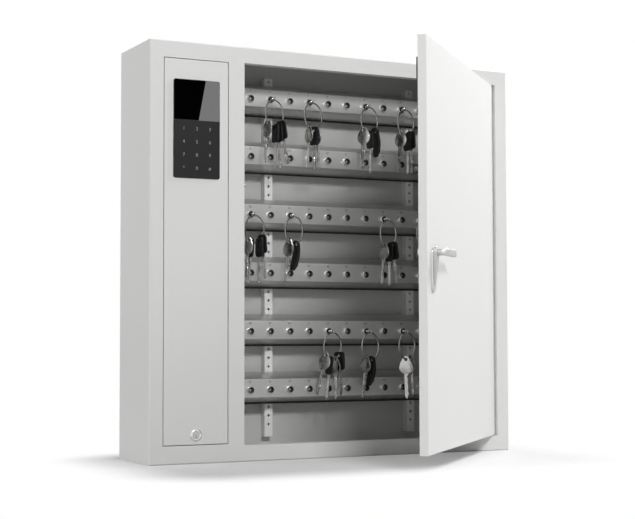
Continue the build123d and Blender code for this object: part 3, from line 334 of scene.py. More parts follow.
# name, group, colour, the group's values, the shader's values, bump and, where given, its distance
looks = {
    "coat": ("greyPowderCoat", "coat", (0.80, 0.80, 0.79),
             {"Peel Scale": 850.0, "Drift": 0.025, "Rough": 0.44},
             {"Specular IOR Level": 0.45}, 0.12),
    # the back panel: the same grey powder coat made darker, painted shade for the dim inside of the cabinet
    "shadedBackWall": ("shadedBackWallCoat", "coat", (0.53, 0.53, 0.52),
                 {"Peel Scale": 850.0, "Drift": 0.05, "Rough": 0.4},
                 {"Specular IOR Level": 0.5}, 0.12),
    "bar": ("satinBarCoat", "coat", (0.56, 0.56, 0.555),
            {"Peel Scale": 850.0, "Drift": 0.04, "Rough": 0.36},
            {"Metallic": 0.75, "Specular IOR Level": 0.5}, 0.08),
    "steel": ("zincPlate", "brush", (0.62, 0.62, 0.60),
              {"Scale": 240.0, "Rough": 0.36, "Tone": 0.2}, {"Metallic": 1.0}, 0.05),
    "bright_steel": ("polishedNickel", "brush", (0.70, 0.69, 0.66),
                     {"Scale": 600.0, "Rough": 0.16, "Tone": 0.06}, {"Metallic": 1.0}, 0.02),
    "satin_steel": ("satinSteel", "brush", (0.54, 0.54, 0.53),
                    {"Along": (1.0, 1.0, 0.12), "Scale": 700.0, "Rough": 0.46, "Tone": 0.1},
                    {"Metallic": 1.0}, 0.06),
    "key_metal": ("nickelKey", "brush", (0.50, 0.495, 0.48),
                  {"Along": (1.0, 1.0, 0.15), "Scale": 500.0, "Rough": 0.26, "Tone": 0.16},
                  {"Metallic": 1.0}, 0.06),
    "wire": ("ringWire", "brush", (0.36, 0.36, 0.355),
             {"Scale": 500.0, "Rough": 0.22, "Tone": 0.1}, {"Metallic": 1.0}, 0.0),
    "black_plastic": ("blackMouldedPlastic", "grain", (0.011, 0.011, 0.012),
                      {"Scale": 1100.0, "Rough": 0.42, "Dust": 0.008},
                      {"Specular IOR Level": 0.3}, 0.12, 0.0001),
    "socket": ("darkSocketPlastic", "grain", (0.012, 0.012, 0.012),
               {"Scale": 900.0, "Rough": 0.5, "Dust": 0.004}, {}, 0.1, 0.0001),
    "field": ("keypadFilm", "grain", (0.014, 0.014, 0.015),
              {"Scale": 2600.0, "Rough": 0.40, "Dust": 0.003},
              {"Specular IOR Level": 0.2}, 0.05, 0.00005),
    "gloss_black": ("displayGlass", "grain", (0.0012, 0.0012, 0.0014),
                    {"Scale": 500.0, "Rough": 0.3, "Dust": 0.0},
                    {"Specular IOR Level": 0.0, "Coat Weight": 1.0, "Coat Roughness": 0.0,
                     "Coat IOR": 2.3}, 0.0),
    "rubber": ("softRubber", "grain", (0.02, 0.02, 0.02),
               {"Scale": 700.0, "Rough": 0.7, "Dust": 0.02}, {}, 0.15, 0.0001),
    "board": ("solderMask", "grain", (0.012, 0.10, 0.035),
              {"Scale": 1500.0, "Rough": 0.32, "Dust": 0.01}, {}, 0.05, 0.00005),
    "brass": ("turnedBrass", "brush", (0.72, 0.55, 0.26),
              {"Scale": 500.0, "Rough": 0.3, "Tone": 0.1}, {"Metallic": 1.0}, 0.03),
    "ink": ("darkInk", "grain", (0.035, 0.035, 0.035),
            {"Scale": 900.0, "Rough": 0.55, "Dust": 0.01}, {}, 0.0),
    "legend": ("greyLegend", "grain", (0.30, 0.30, 0.30),
               {"Scale": 900.0, "Rough": 0.5, "Dust": 0.01}, {}, 0.0),
}
mats = {key: surface(*values) for key, values in looks.items()}
print("materials made")

# a CAD node takes the look of its slot, apart from these
# the striker is made black, painted shade, so that it melts into the shaded inside behind the open door
ownLook = {"back_panel": "shadedBackWall", "striker": "black_plastic", "cam_lock_plug": "key_metal"}
slotOf = {s["node"]: s["material_slot"] for s in frame["record"]["subparts"]}
for node, ob in frame["nodes"].items():
    for s in ob.material_slots:
        s.link = "OBJECT"
        s.material = mats[ownLook.get(node, slotOf[node])]

bar = {"left": -193.0, "right": 357.5, "front": -57.5, "back": -17.5, "faceAbove": 19.3,
       "faceBelow": 14.5, "backAbove": 32.3, "backBelow": 24.2, "lip": 13.0, "sheet": 1.2,
       "bend": 2.2, "steps": 6}
layout = {"rows": 6, "floor": -360.0, "lowest": 118.8, "rowPitch": 105.6,
          "hooks": 14, "firstHook": 19.8, "hookPitch": 39.3}
rowHeights = [layout["floor"] + layout["lowest"] + layout["rowPitch"] * (layout["rows"] - row)
              for row in range(1, layout["rows"] + 1)]
hookXs = [bar["left"] + layout["firstHook"] + layout["hookPitch"] * column
          for column in range(layout["hooks"])]


def roundPath(points, radius, steps):
    # an open run of straight lines whose inner corners are replaced by circular arcs
    pts = [np.array(p, float) for p in points]
    out = [pts[0]]
    for a, b, c in zip(pts, pts[1:], pts[2:]):
        u, v = (a - b) / np.linalg.norm(a - b), (c - b) / np.linalg.norm(c - b)
        half = math.acos(np.clip(u @ v, -1, 1)) / 2
        reach = radius / math.tan(half)
        centre = b + (u + v) / np.linalg.norm(u + v) * radius / math.sin(half)
        p, q = b + u * reach - centre, b + v * reach - centre
        turn = math.atan2(p[0] * q[1] - p[1] * q[0], p @ q)
        for t in np.linspace(0, turn, steps):
            out.append(centre + np.array((p[0] * math.cos(t) - p[1] * math.sin(t),
                                          p[0] * math.sin(t) + p[1] * math.cos(t))))
    out.append(pts[-1])
    return np.array(out)


def thicken(path, sheet):
    # the closed outline of a sheet: the path, then a second line at its side, back again
    d = unitSteps(path)
    normal = np.stack((-d[:, 1], d[:, 0]), -1)
    return np.concatenate((path, (path + normal * sheet)[::-1]))


def makeBar(row, h, p):
    # the section in (y, z), carried along X from end to end, each end closed by a strip of quads
    low, high = h - p["backBelow"], h + p["backAbove"]
    outer = roundPath([(p["back"], low + p["lip"]), (p["back"], low),
                       (p["front"], h - p["faceBelow"]), (p["front"], h + p["faceAbove"]),
                       (p["back"], high), (p["back"], high - p["lip"])], p["bend"], p["steps"])
    section = thicken(outer, -p["sheet"])
    points = alongX(np.array((p["left"], p["right"])), section)
    shell = Shell()
    shell.grid(points)
    n = len(section)
    for first in (0, n):
        last = first + n - 1
        shell.add(points, [(first + k, first + k + 1, last - k - 1, last - k)
                           for k in range(n // 2 - 1)])
    ob = shell.build(f"keyBar{row}", [mats["bar"]], 50)
    finishPiece(ob, "cabinet", "coat", f"key_bar_{row}")


# black strips that paint the shadow line under each bar's lower edge
shadowStrip = {"high": 3.4, "thick": 1.3, "round": 0.4, "short": 0.2, "overlap": 0.1, "pushedOn": 0.3}


def makeShadowStrips(p, b):
    # a black strip along each bar's lower edge that stands in for the shadow line under the bar, a painted shadow:
    # a rounded section in (y, z), carried along X
    shell = Shell()
    outline = roundedOutline(p["thick"], p["high"], p["round"], 3)
    xs = np.array((b["left"] + p["short"], b["right"] - p["short"]))
    for h in rowHeights:
        middle = np.array((b["back"] - p["thick"] / 2 + p["overlap"],
                           h - b["backBelow"] - p["high"] / 2 + p["pushedOn"]))
        shell.grid(alongX(xs, outline + middle), caps=(0, -1))
    finishPiece(shell.build("barShadowStrips", [mats["rubber"]], 30), "cabinet", "rubber")


makeShadowStrips(shadowStrip, bar)
for row, height in enumerate(rowHeights, start=1):
    makeBar(row, height, bar)
print("bars made")

# rim: in from the outer radius and down from the front; mouth: out from the inner, and down
receptacle = {"front": -57.5, "outer": 6.5, "inner": 5.35, "length": 6.0, "recess": 0.7,
              "rim": ((0.0, 0.9), (0.25, 0.35), (0.6, 0.0)), "mouth": ((0.25, 0.0), (0.0, 0.3)),
              "hexWidth": 7.4, "hexDepth": 3.0, "hexTaper": 0.97, "holeRadius": 2.5,
              "holeDepth": 7.0, "sides": 24}


def hexRing(width, sides):
    # distance to a regular hexagon's edge: half width over the cosine of the angle from its flat
    off = (circleAngles(sides) + math.pi / 6) % (math.pi / 3) - math.pi / 6
    return (width / 2) / np.cos(off)


def makeReceptacles(p):
    # a bright collar with a dark hexagon socket in it at each hook of each bar
    collars, sockets = Shell(), Shell()
    length, outer, inner, sides = p["length"], p["outer"], p["inner"], p["sides"]
    profile = [(inner, 0.0), (outer, 0.0)]
    profile += [(outer - inset, length - drop) for inset, drop in p["rim"]]
    profile += [(inner + outset, length - drop) for outset, drop in p["mouth"]]
    ring = lathe(profile, sides)
    a = circleAngles(sides)
    circle = np.stack((np.cos(a), np.sin(a)), -1)
    hexagon = hexRing(p["hexWidth"], sides)[:, None] * circle
    hole = circle * p["holeRadius"]
    face = length - p["recess"]
    ledge = face - p["hexDepth"]
    rows = [(circle * inner, face), (hexagon, face), (hexagon * p["hexTaper"], ledge),
            (hole, ledge), (hole, ledge - p["holeDepth"])]
    dark = np.array([np.column_stack((xy, np.full(sides, h))) for xy, h in rows])
    for x in hookXs:
        for z in rowHeights:
            collars.grid(toFront(ring, x, p["front"], z) * mm, closeRows=True)
            sockets.grid(toFront(dark, x, p["front"], z) * mm, caps=(-1,))
    finishPiece(collars.build("hookCollars", [mats["bright_steel"]], 40), "cabinet",
                "bright_steel", "hook_collars")
    finishPiece(sockets.build("hookSockets", [mats["socket"]], 30), "cabinet", "black_plastic",
                "hook_sockets")


makeReceptacles(receptacle)

# row, column and what hangs there: kind, then place on the ring, lean and turn in degrees
bunches = [
    (1, 2, [("metal", -48, -4, 10), ("plastic", 8, -2, 6), ("plastic", 27, 3, 12),
            ("plastic", 48, 10, 20)]),
    (1, 4, [("metal", -28, -3, 4), ("plastic", 2, 2, 26), ("metal", 24, 4, 2)]),
    (1, 7, [("metal", -42, -3, 30), ("plastic", 4, 0, 2), ("fob", 44, 3, 14)]),
    (1, 9, [("metal", -38, -4, 24), ("plastic", 12, 0, 8), ("plastic", 38, 3, 16)]),
    (3, 1, [("metal", -40, -4, 10), ("plastic", -24, -4, 4), ("plastic", 30, 0, 10),
            ("plastic", 54, 4, 16)]),
    (3, 3, [("metal", -34, -6, 16), ("fob", 14, -8, 20)]),
    (3, 8, [("metal", -30, -4, 16), ("plastic", 6, 0, 8), ("plastic", 34, 8, 22)]),
    (3, 10, [("metal", -10, -2, 20), ("plastic", 16, 3, 20)]),
    (5, 5, [("metal", -52, -14, 24), ("plastic", -20, -6, 4), ("metal", 20, 0, 10),
            ("plastic", 50, 2, 30)]),
    (5, 7, [("metal", -30, -6, 14), ("fob", 10, -7, 18)]),
    (5, 9, [("metal", -8, 2, 54), ("metal", 28, 4, 4)]),
]
# groove: in from the pin's radius and back from its tip
peg = {"radius": 2.5, "back": -55.0, "front": -74.1, "tip": 0.01, "flat": 0.7,
       "groove": ((0.0, 0.5), (0.0, 2.4), (0.35, 2.9), (0.35, 3.6), (0.0, 4.1)), "pinSides": 20,
       "eyeY": -77.5, "eyeDrop": 1.5, "eyeRadius": 4.5, "hole": 3.5, "sheet": 1.6, "bevel": 0.25,
       "eyeSides": 28}


def makePegs(p):
    # a round pin with a neck, and a washer-like eye on edge at its tip for the ring
    shell = Shell()
    radius, length, bevel, half = p["radius"], p["back"] - p["front"], p["bevel"], p["sheet"] / 2
    pin = [(p["tip"], length), (radius * p["flat"], length)]
    pin += [(radius - inset, length - back) for inset, back in p["groove"]] + [(radius, 0.0)]
    a = circleAngles(p["eyeSides"])
    stops = [(p["hole"], half - bevel), (p["hole"] + bevel, half), (p["eyeRadius"] - bevel, half),
             (p["eyeRadius"], half - bevel)]
    stops += [(r, -off) for r, off in stops[::-1]]
    for row, column, keys in bunches:
        x, z = hookXs[column], rowHeights[row - 1]
        shell.grid(toFront(lathe(pin, p["pinSides"]), x, p["back"], z) * mm, caps=(0, -1))
        rings = [np.column_stack((np.full(len(a), x + off), p["eyeY"] + r * np.cos(a),
                                  z - p["eyeDrop"] + r * np.sin(a))) for r, off in stops]
        shell.grid(np.array(rings) * mm, closeRows=True)
    finishPiece(shell.build("keyPegs", [mats["bright_steel"]], 40), "cabinet", "bright_steel",
                "key_pegs")


makePegs(peg)
print("receptacles made")

ringShape = {"radius": 24.9, "wireHigh": 1.0, "wireDeep": 0.62, "pitch": 1.3, "turns": 2.0,
             "steps": 110, "sides": 8, "start": 1.1, "y": -77.5, "drop": 27.85, "turn": 24.0}
# size is width, length and corner radius; sunk is how far a blade's root goes into its head
keyShape = {"eye": 3.0, "eyeEdge": 6.5, "eyeDrop": 0.7, "neck": 13.0, "bow": 27.0,
            "bowDrop": 14.0, "fobBend": 6.0,
            "metal": {"thick": 2.2, "bevel": 0.35, "crown": 0.0, "sunk": 1.5, "mark": 0},
            "plastic": {"size": (22.0, 34.0, 6.0), "thick": 4.4, "bevel": 0.7, "crown": 0.4,
                        "sunk": 1.0, "mark": 1},
            "fob": {"size": (16.0, 56.0, 7.2), "thick": 6.5, "bevel": 1.0, "crown": 1.0, "mark": 1}}
bladeShape = {"width": 8.0, "thick": 2.2, "length": 46.0, "sections": 46, "teeth": 8, "perTooth": 5,
              "cuts": (0.4, 2.6), "firstCut": 4, "pointFrom": 0.9, "pointOver": 0.1, "point": 0.75,
              "edge": 0.6, "groove": 0.45,
              "shares": (0.0, 0.06, 0.30, 0.36, 0.56, 0.62, 0.94, 1.0)}


def boxDistance(v, middle, width, height, radius):
    # signed distance to a rounded box that hangs with its middle on the upright line
    q = np.abs(v - np.array((0, middle))) - np.array((width / 2 - radius, height / 2 - radius))
    return np.linalg.norm(np.maximum(q, 0), axis=-1) + np.minimum(q.max(axis=-1), 0) - radius


def eggDistance(v, p):
    # signed distance to the hull of two discs, the neck at the eye and the larger bow below it
    r1, r2, h = p["neck"] / 2, p["bow"] / 2, p["bowDrop"]
    x, y = np.abs(v[..., 0]), -v[..., 1]
    b = (r1 - r2) / h
    a = math.sqrt(1 - b * b)
    k = -b * x + a * y
    side = x * a + y * b - r1
    return np.where(k < 0, np.hypot(x, y) - r1, np.where(k > a * h, np.hypot(x, y - h) - r2, side))


def headOutline(kind, p):
    # the signed distance that outlines a head or fob, and the height of its foot from the eye
    if kind == "metal":
        return (lambda v: eggDistance(v, p)), -p["bowDrop"] - p["bow"] / 2
    width, length, corner = p[kind]["size"]
    foot = p["eyeEdge"] - length
    return (lambda v: boxDistance(v, foot + length / 2, width, length, corner)), foot


def radialOutline(distance, sides, near=0.5, far=90.0, samples=360, halvings=14):
    # for each direction from the eye, the radius where the signed distance turns positive
    a = circleAngles(sides)
    d = np.stack((np.cos(a), np.sin(a)), -1)
    steps = np.linspace(near, far, samples)
    outside = distance(d[None] * steps[:, None, None]) > 0
    high = steps[np.argmax(outside, axis=0)]
    low = high - (steps[1] - steps[0])
    for _ in range(halvings):
        mid = (low + high) / 2
        out = distance(d * mid[:, None]) > 0
        high, low = np.where(out, mid, high), np.where(out, low, mid)
    return d, high


def pierced(distance, eye, thick, bevel, crown, sides=64):
    # a plate round the eye: rings from the eye's wall over one face, round the rim and back;
    # each stop is a share of the way to the rim, an offset and a height
    d, r = radialOutline(distance, sides)
    h = thick / 2
    stops = [(0.0, 0.0, h - bevel), (0.0, bevel, h)]
    if crown:
        stops += [(0.35, 0.0, h + crown * 0.9), (0.7, 0.0, h + crown * 0.7)]
    stops += [(1.0, -bevel, h), (1.0, -bevel * 0.3, h - bevel * 0.3), (1.0, 0.0, h - bevel)]
    rings = []
    for share, off, z in stops + [(s, o, -z) for s, o, z in stops[::-1]]:
        radius = eye + (r - eye) * share + off
        rings.append(np.column_stack((np.full(sides, z), d[:, 0] * radius, d[:, 1] * radius)))
    return np.array(rings)


def blade(p, top, length, side, seed):
    # a section in (x, y) carried down the blade: one edge steps by tooth, both faces keep a groove
    gen = np.random.default_rng(seed)
    t = np.linspace(0, 1, p["sections"])
    z = top - t * length
    teeth = np.repeat(gen.uniform(*p["cuts"], p["teeth"]), p["perTooth"])
    cut = np.zeros(p["sections"])
    cut[p["firstCut"]:p["firstCut"] + len(teeth)] = np.convolve(
        np.pad(teeth, 1, mode="edge"), (0.25, 0.5, 0.25), "valid")
    w, h = p["width"] / 2, p["thick"] / 2
    point = np.clip((t - p["pointFrom"]) / p["pointOver"], 0, 1) * w * p["point"]
    low, high = -w + point, w - point - cut
    if side < 0:
        low, high = -high, -low
    edge, floor = p["edge"] * h, h - p["groove"]
    face = list(zip(p["shares"], (edge, h, h, floor, floor, h, h, edge)))
    ring = np.array(face + [(s, -x) for s, x in face[::-1]])
    y = low[:, None] + (high - low)[:, None] * ring[:, 0][None]
    return np.stack((np.broadcast_to(ring[:, 1], y.shape), y,
                     np.broadcast_to(z[:, None], y.shape)), -1)


def turned(points, turn, lean, eye):
    # about Z by turn, then about Y by -lean, then to the eye's place on the ring
    a, b = math.radians(turn), math.radians(-lean)
    rz = np.array(((math.cos(a), -math.sin(a), 0), (math.sin(a), math.cos(a), 0), (0, 0, 1)))
    ry = np.array(((math.cos(b), 0, math.sin(b)), (0, 1, 0), (-math.sin(b), 0, math.cos(b))))
    return points @ (ry @ rz).T + np.array(eye)


def splitRing(p, centre, start):
    # turns of flattened wire: radius cos a aside, pitch a / 2 pi deep, radius sin a high, then
    # turned about the upright line
    a = np.linspace(0, 2 * math.pi * p["turns"], p["steps"]) + start
    y = (np.linspace(0, p["turns"], p["steps"]) - p["turns"] / 2) * p["pitch"]
    s = circleAngles(p["sides"])
    radius = p["radius"] + p["wireHigh"] * np.cos(s)[None]
    aside, deep = radius * np.cos(a)[:, None], y[:, None] + p["wireDeep"] * np.sin(s)[None]
    t = math.radians(p["turn"])
    pts = np.stack((aside * math.cos(t) - deep * math.sin(t),
                    aside * math.sin(t) + deep * math.cos(t), radius * np.sin(a)[:, None]), -1)
    return pts + np.array(centre)


def makeBunch(number, row, column, keys, p, q):
    shell = Shell()
    centre = np.array((hookXs[column], q["y"], rowHeights[row - 1] - q["drop"]))
    shell.grid(splitRing(q, centre, q["start"] + number) * mm, caps=(0, -1), mark=2)
    t = math.radians(q["turn"])
    for k, (kind, place, lean, turn) in enumerate(keys):
        aside, down = (q["radius"] * f(math.radians(place)) for f in (math.sin, math.cos))
        eye = (centre[0] + aside * math.cos(t), centre[1] + aside * math.sin(t),
               centre[2] - down - p["eyeDrop"])
        distance, foot = headOutline(kind, p)
        head = p[kind]
        plate = pierced(distance, p["eye"], head["thick"] - 2 * head["crown"], head["bevel"],
                        head["crown"])
        if kind == "fob":
            # curved along its length: a parabola about the middle, with no shift at the eye
            half = head["size"][1] / 2
            middle = foot + half
            rise = middle ** 2 - (plate[..., 2] - middle) ** 2
            plate[..., 0] += p["fobBend"] * rise / half ** 2
        shell.grid(turned(plate, turn, lean, eye) * mm, closeRows=True, mark=head["mark"])
        if kind != "fob":
            cut = blade(bladeShape, foot + head["sunk"], bladeShape["length"] + head["sunk"],
                        1 if k % 2 else -1, number * 10 + k)
            shell.grid(turned(cut, turn, lean, eye) * mm, caps=(0, -1))
    ob = shell.build(f"keyBunch{number:02d}",
                     [mats["key_metal"], mats["black_plastic"], mats["wire"]], 40)
    finishPiece(ob, f"bunch_{number:02d}", "key_metal", f"key_bunch_{number:02d}")


for number, (row, column, keys) in enumerate(bunches, start=1):
    makeBunch(number, row, column, keys, keyShape, ringShape)
print("key bunches made")


def glyph(text, size):
    # the filled outline of a text, from the font that comes with the program
    data = bpy.data.curves.new("glyph", "FONT")
    data.body = text
    data.size = size
    data.align_x = "CENTER"
    data.align_y = "CENTER"
    data.resolution_u = 3
    ob = bpy.data.objects.new("glyph", data)
    bpy.context.collection.objects.link(ob)
    bpy.context.view_layer.update()
    mesh = bpy.data.meshes.new_from_object(ob)
    pts = np.zeros(len(mesh.vertices) * 3)
    mesh.vertices.foreach_get("co", pts)
    faces = [tuple(f.vertices) for f in mesh.polygons]
    bpy.data.objects.remove(ob)
    bpy.data.meshes.remove(mesh)
    return pts.reshape(-1, 3), faces


def makeDigits(name, marks, material, body, slotName, y):
    # each mark is (text, x, z, size) in millimetres, laid flat on the plane at y
    shell = Shell()
    for text, x, z, size in marks:
        pts, faces = glyph(text, size)
        flat = np.stack((pts[:, 0] + x, np.full(len(pts), y), pts[:, 1] + z), -1)
        shell.add(flat * mm, faces)
    finishPiece(shell.build(name, [material], 30, welded=False), body, slotName)


hookMarks = {"size": 5.4, "above": 14.2, "y": -57.56}
makeDigits("hookNumbers",
           [(str(r * len(hookXs) + c + 1), x, z + hookMarks["above"], hookMarks["size"])
            for r, z in enumerate(rowHeights) for c, x in enumerate(hookXs)],
           mats["ink"], "cabinet", "black_plastic", hookMarks["y"])
print("hook numbers made")

keypad = {"x": -275.8, "z": 210.2, "width": 85.0, "height": 169.4, "corner": 3.5, "display": 70.0,
          "halfGap": 0.05, "seat": -151.2, "thick": 1.0, "bevel": 0.3, "legends": "123456789*0#",
          "columns": 3, "pitchX": 24.0, "pitchZ": 22.6, "firstRow": 14.5, "digit": 8.2,
          "lift": 0.04}


def makeKeypad(p):
    # the display and the touch field are the two parts of one rounded rectangle
    split = p["z"] + p["height"] / 2 - p["display"]
    outline = roundedOutline(p["width"], p["height"], p["corner"]) + np.array((p["x"], p["z"]))
    top, low = outline.copy(), outline.copy()
    top[:, 1] = np.maximum(top[:, 1], split + p["halfGap"])
    low[:, 1] = np.minimum(low[:, 1], split - p["halfGap"])
    for name, rim, look, slotName, node in (
            ("displayGlass", top, "gloss_black", "gloss_black", "display_glass"),
            ("touchField", low, "field", "black_plastic", "key_field")):
        shell = Shell()
        shell.grid(plateSlab(rim, p["seat"], p["thick"], p["bevel"]) * mm, caps=(0, -1))
        finishPiece(shell.build(name, [mats[look]], 1), "service_door", slotName, node)
    marks = []
    for k, text in enumerate(p["legends"]):
        across, down = k % p["columns"] - p["columns"] // 2, k // p["columns"]
        marks.append((text, p["x"] + across * p["pitchX"],
                      split - p["firstRow"] - down * p["pitchZ"], p["digit"]))
    makeDigits("keypadLegends", marks, mats["legend"], "service_door", "black_plastic",
               p["seat"] - p["thick"] - p["lift"])


makeKeypad(keypad)
print("keypad made")

# rim: in from the radius and up from the door; crown: in and down from the front;
# mouth: out from the bore and down from the front
lockHead = {"x": -275.8, "z": -311.8, "front": -150.0, "radius": 11.0, "proud": 2.6, "bore": 6.08,
            "body": 9.5, "back": 13.6, "rim": ((0.0, 0.0), (0.0, 0.9), (0.25, 1.35)),
            "crown": ((1.4, 0.25), (1.9, 0.0)), "mouth": ((0.9, 0.0), (0.35, 0.15), (0.0, 0.6)),
            "sides": 48}


def makeLockHead(p):
    radius, proud, bore = p["radius"], p["proud"], p["bore"]
    profile = [(bore, -p["back"]), (p["body"], -p["back"]), (p["body"], 0.0)]
    profile += [(radius - inset, height) for inset, height in p["rim"]]
    profile += [(radius - inset, proud - drop) for inset, drop in p["crown"]]
    profile += [(bore + outset, proud - drop) for outset, drop in p["mouth"]]
    shell = Shell()
    shell.grid(toFront(lathe(profile, p["sides"]), p["x"], p["front"], p["z"]) * mm, closeRows=True)
    finishPiece(shell.build("camLockHead", [mats["bright_steel"]], 30), "service_door",
                "bright_steel", "cam_lock_barrel")


makeLockHead(lockHead)
print("cam lock head made")

# the handle is made on the closed door and swung out with it
spindle = {"x": -149.8, "z": -11.5, "front": -150.0}
handlePlate = {**spindle, "width": 22.0, "height": 69.0, "corner": 7.0, "bevel": 1.4, "above": 6.0,
               "thick": 3.0, "bore": 6.08, "boss": 10.0, "bossHigh": 6.0, "bossSides": 48,
               "tail": 42.0, "narrowing": 0.45, "fall": 0.55, "root": 0.2, "sunk": 0.4,
               "rings": ((1.0, 0.6), (0.97, 0.9), (0.9, 1.0))}
lever = {**spindle, "neck": 6.0, "gripHigh": 12.0, "gripThick": 9.0, "reach": 26.0,
         "length": 57.0, "elbow": 7.0, "elbowSteps": 9, "neckStops": (0.3, 6.0), "beforeElbow": 2.0,
         "afterElbow": 4.0, "gripSteps": 9, "gripEnd": 2.0, "tip": ((0.6, 0.94), (0.0, 0.72)),
         "blendFrom": 10.0, "blendOver": 16.0, "squareness": 2.2, "sides": 32}


def makePlate(p):
    x, y, z = p["x"], p["front"], p["z"]
    thick, fullHeight = p["thick"], p["thick"] + p["bossHigh"]
    shell = Shell()
    base = roundedOutline(p["width"], p["height"], p["corner"])
    base = base + np.array((x, z + p["above"] - p["height"] / 2))
    slab = plateSlab(base, y, thick, p["bevel"]) * mm
    shell.grid(swingOut(slab, keyDoor), caps=(0, -1))
    # boss: a circle round the spindle drawn out below into a tapering tail, lower towards its end
    a = circleAngles(p["bossSides"])
    level = np.ones(len(a))
    down = np.clip(-np.sin(a), 0, 1) ** 3
    aside = p["boss"] * np.cos(a) * (1 - p["narrowing"] * down)
    upright = p["boss"] * np.sin(a) - p["tail"] * down
    rings = [np.column_stack((x + aside, level * (y - thick + p["root"]), z + upright))]
    for share, rise in p["rings"]:
        h = thick - p["sunk"] + (fullHeight - thick + p["sunk"]) * rise * (1 - p["fall"] * down)
        rings.append(np.column_stack((x + aside * share, y - h, z + upright * share)))
    for h in (fullHeight, thick):
        rings.append(np.column_stack((x + p["bore"] * np.cos(a), level * (y - h),
                                      z + p["bore"] * np.sin(a))))
    shell.grid(swingOut(np.array(rings) * mm, keyDoor), caps=(0, -1))
    finishPiece(shell.build("handlePlate", [mats["satin_steel"]], 35), "key_door", "satin_steel",
                "handle_plate")


def makeLever(p):
    # a section carried out along the neck, round an elbow and along the grip; on the way it passes
    # from a circle to a rounded rectangle
    reach, elbow, length = p["reach"] - p["gripThick"] / 2, p["elbow"], p["length"]
    path = [(0.0, v) for v in (*p["neckStops"], reach - elbow - p["beforeElbow"])]
    path += [(elbow - elbow * math.cos(v), reach - elbow + elbow * math.sin(v))
             for v in np.linspace(0, math.pi / 2, p["elbowSteps"])]
    path += [(v, reach) for v in np.linspace(elbow + p["afterElbow"], length - p["gripEnd"],
                                             p["gripSteps"])]
    full = len(path)
    path = np.array(path + [(length - back, reach) for back, share in p["tip"]])
    end = np.concatenate((np.ones(full), [share for back, share in p["tip"]]))
    d = unitSteps(path)
    n = np.stack((-d[:, 1], d[:, 0]), -1)
    travel = np.cumsum(np.linalg.norm(np.diff(path, axis=0), axis=1))
    s = np.clip((np.concatenate(((0,), travel)) - p["blendFrom"]) / p["blendOver"], 0, 1)
    s = s * s * (3 - 2 * s)
    power = 2 / (2 + p["squareness"] * s)[:, None]
    a = circleAngles(p["sides"])
    deep, high = ((p["neck"] + (p[size] / 2 - p["neck"]) * s) * end
                  for size in ("gripThick", "gripHigh"))
    u = deep[:, None] * np.sign(np.cos(a)) * np.abs(np.cos(a)) ** power
    v = high[:, None] * np.sign(np.sin(a)) * np.abs(np.sin(a)) ** power
    pts = np.stack((p["x"] + path[:, 0][:, None] + n[:, 0][:, None] * u,
                    p["front"] - path[:, 1][:, None] - n[:, 1][:, None] * u, p["z"] + v), -1)
    shell = Shell()
    shell.grid(swingOut(pts * mm, keyDoor), caps=(0, -1))
    finishPiece(shell.build("leverHandle", [mats["satin_steel"]], 40), "handle", "satin_steel",
                "handle_lever")


makePlate(handlePlate)
makeLever(lever)
print("handle made")

# round the cabinet's box the floor is kept grey and is faded to white between fadeFrom and fadeTo metres out:
# painted shade
stage = {"floorZ": -0.3603, "floorX": (-9, 9), "floorY": (-6, 12), "floorTone": 0.60,
         "floorGlow": 0.21, "fadeFrom": 0.02, "fadeTo": 0.19, "middle": (-0.01, -0.17, 0.0),
         "half": (0.30, 0.14, 9.0)}


def seenRay(tree, *kinds):
    # 1 for rays of the named kinds, 0 for all others
    path = tree.nodes.new("ShaderNodeLightPath")
    seen = path.outputs[kinds[0]]
    for kind in kinds[1:]:
        seen = mathNode(tree, "MAXIMUM", seen, path.outputs[kind])
    return seen


def bareMaterial(name):
    # a material whose output is still free
    mat = bpy.data.materials.new(name)
    mat.use_nodes = True
    mat.node_tree.nodes.remove(mat.node_tree.nodes["Principled BSDF"])
    return mat, mat.node_tree, mat.node_tree.nodes["Material Output"].inputs["Surface"]


def emissive(name, tone, strength):
    mat, tree, output = bareMaterial(name)
    e = tree.nodes.new("ShaderNodeEmission")
    e.inputs["Color"].default_value = (tone, tone, tone, 1.0)
    e.inputs["Strength"].default_value = strength
    tree.links.new(e.outputs[0], output)
    return mat


def flatPlane(name, corners, material):
    mesh = bpy.data.meshes.new(name)
    mesh.from_pydata([tuple(c) for c in corners], [], [tuple(range(len(corners)))])
    mesh.materials.append(material)
    ob = bpy.data.objects.new(name, mesh)
    bpy.context.collection.objects.link(ob)
    return ob


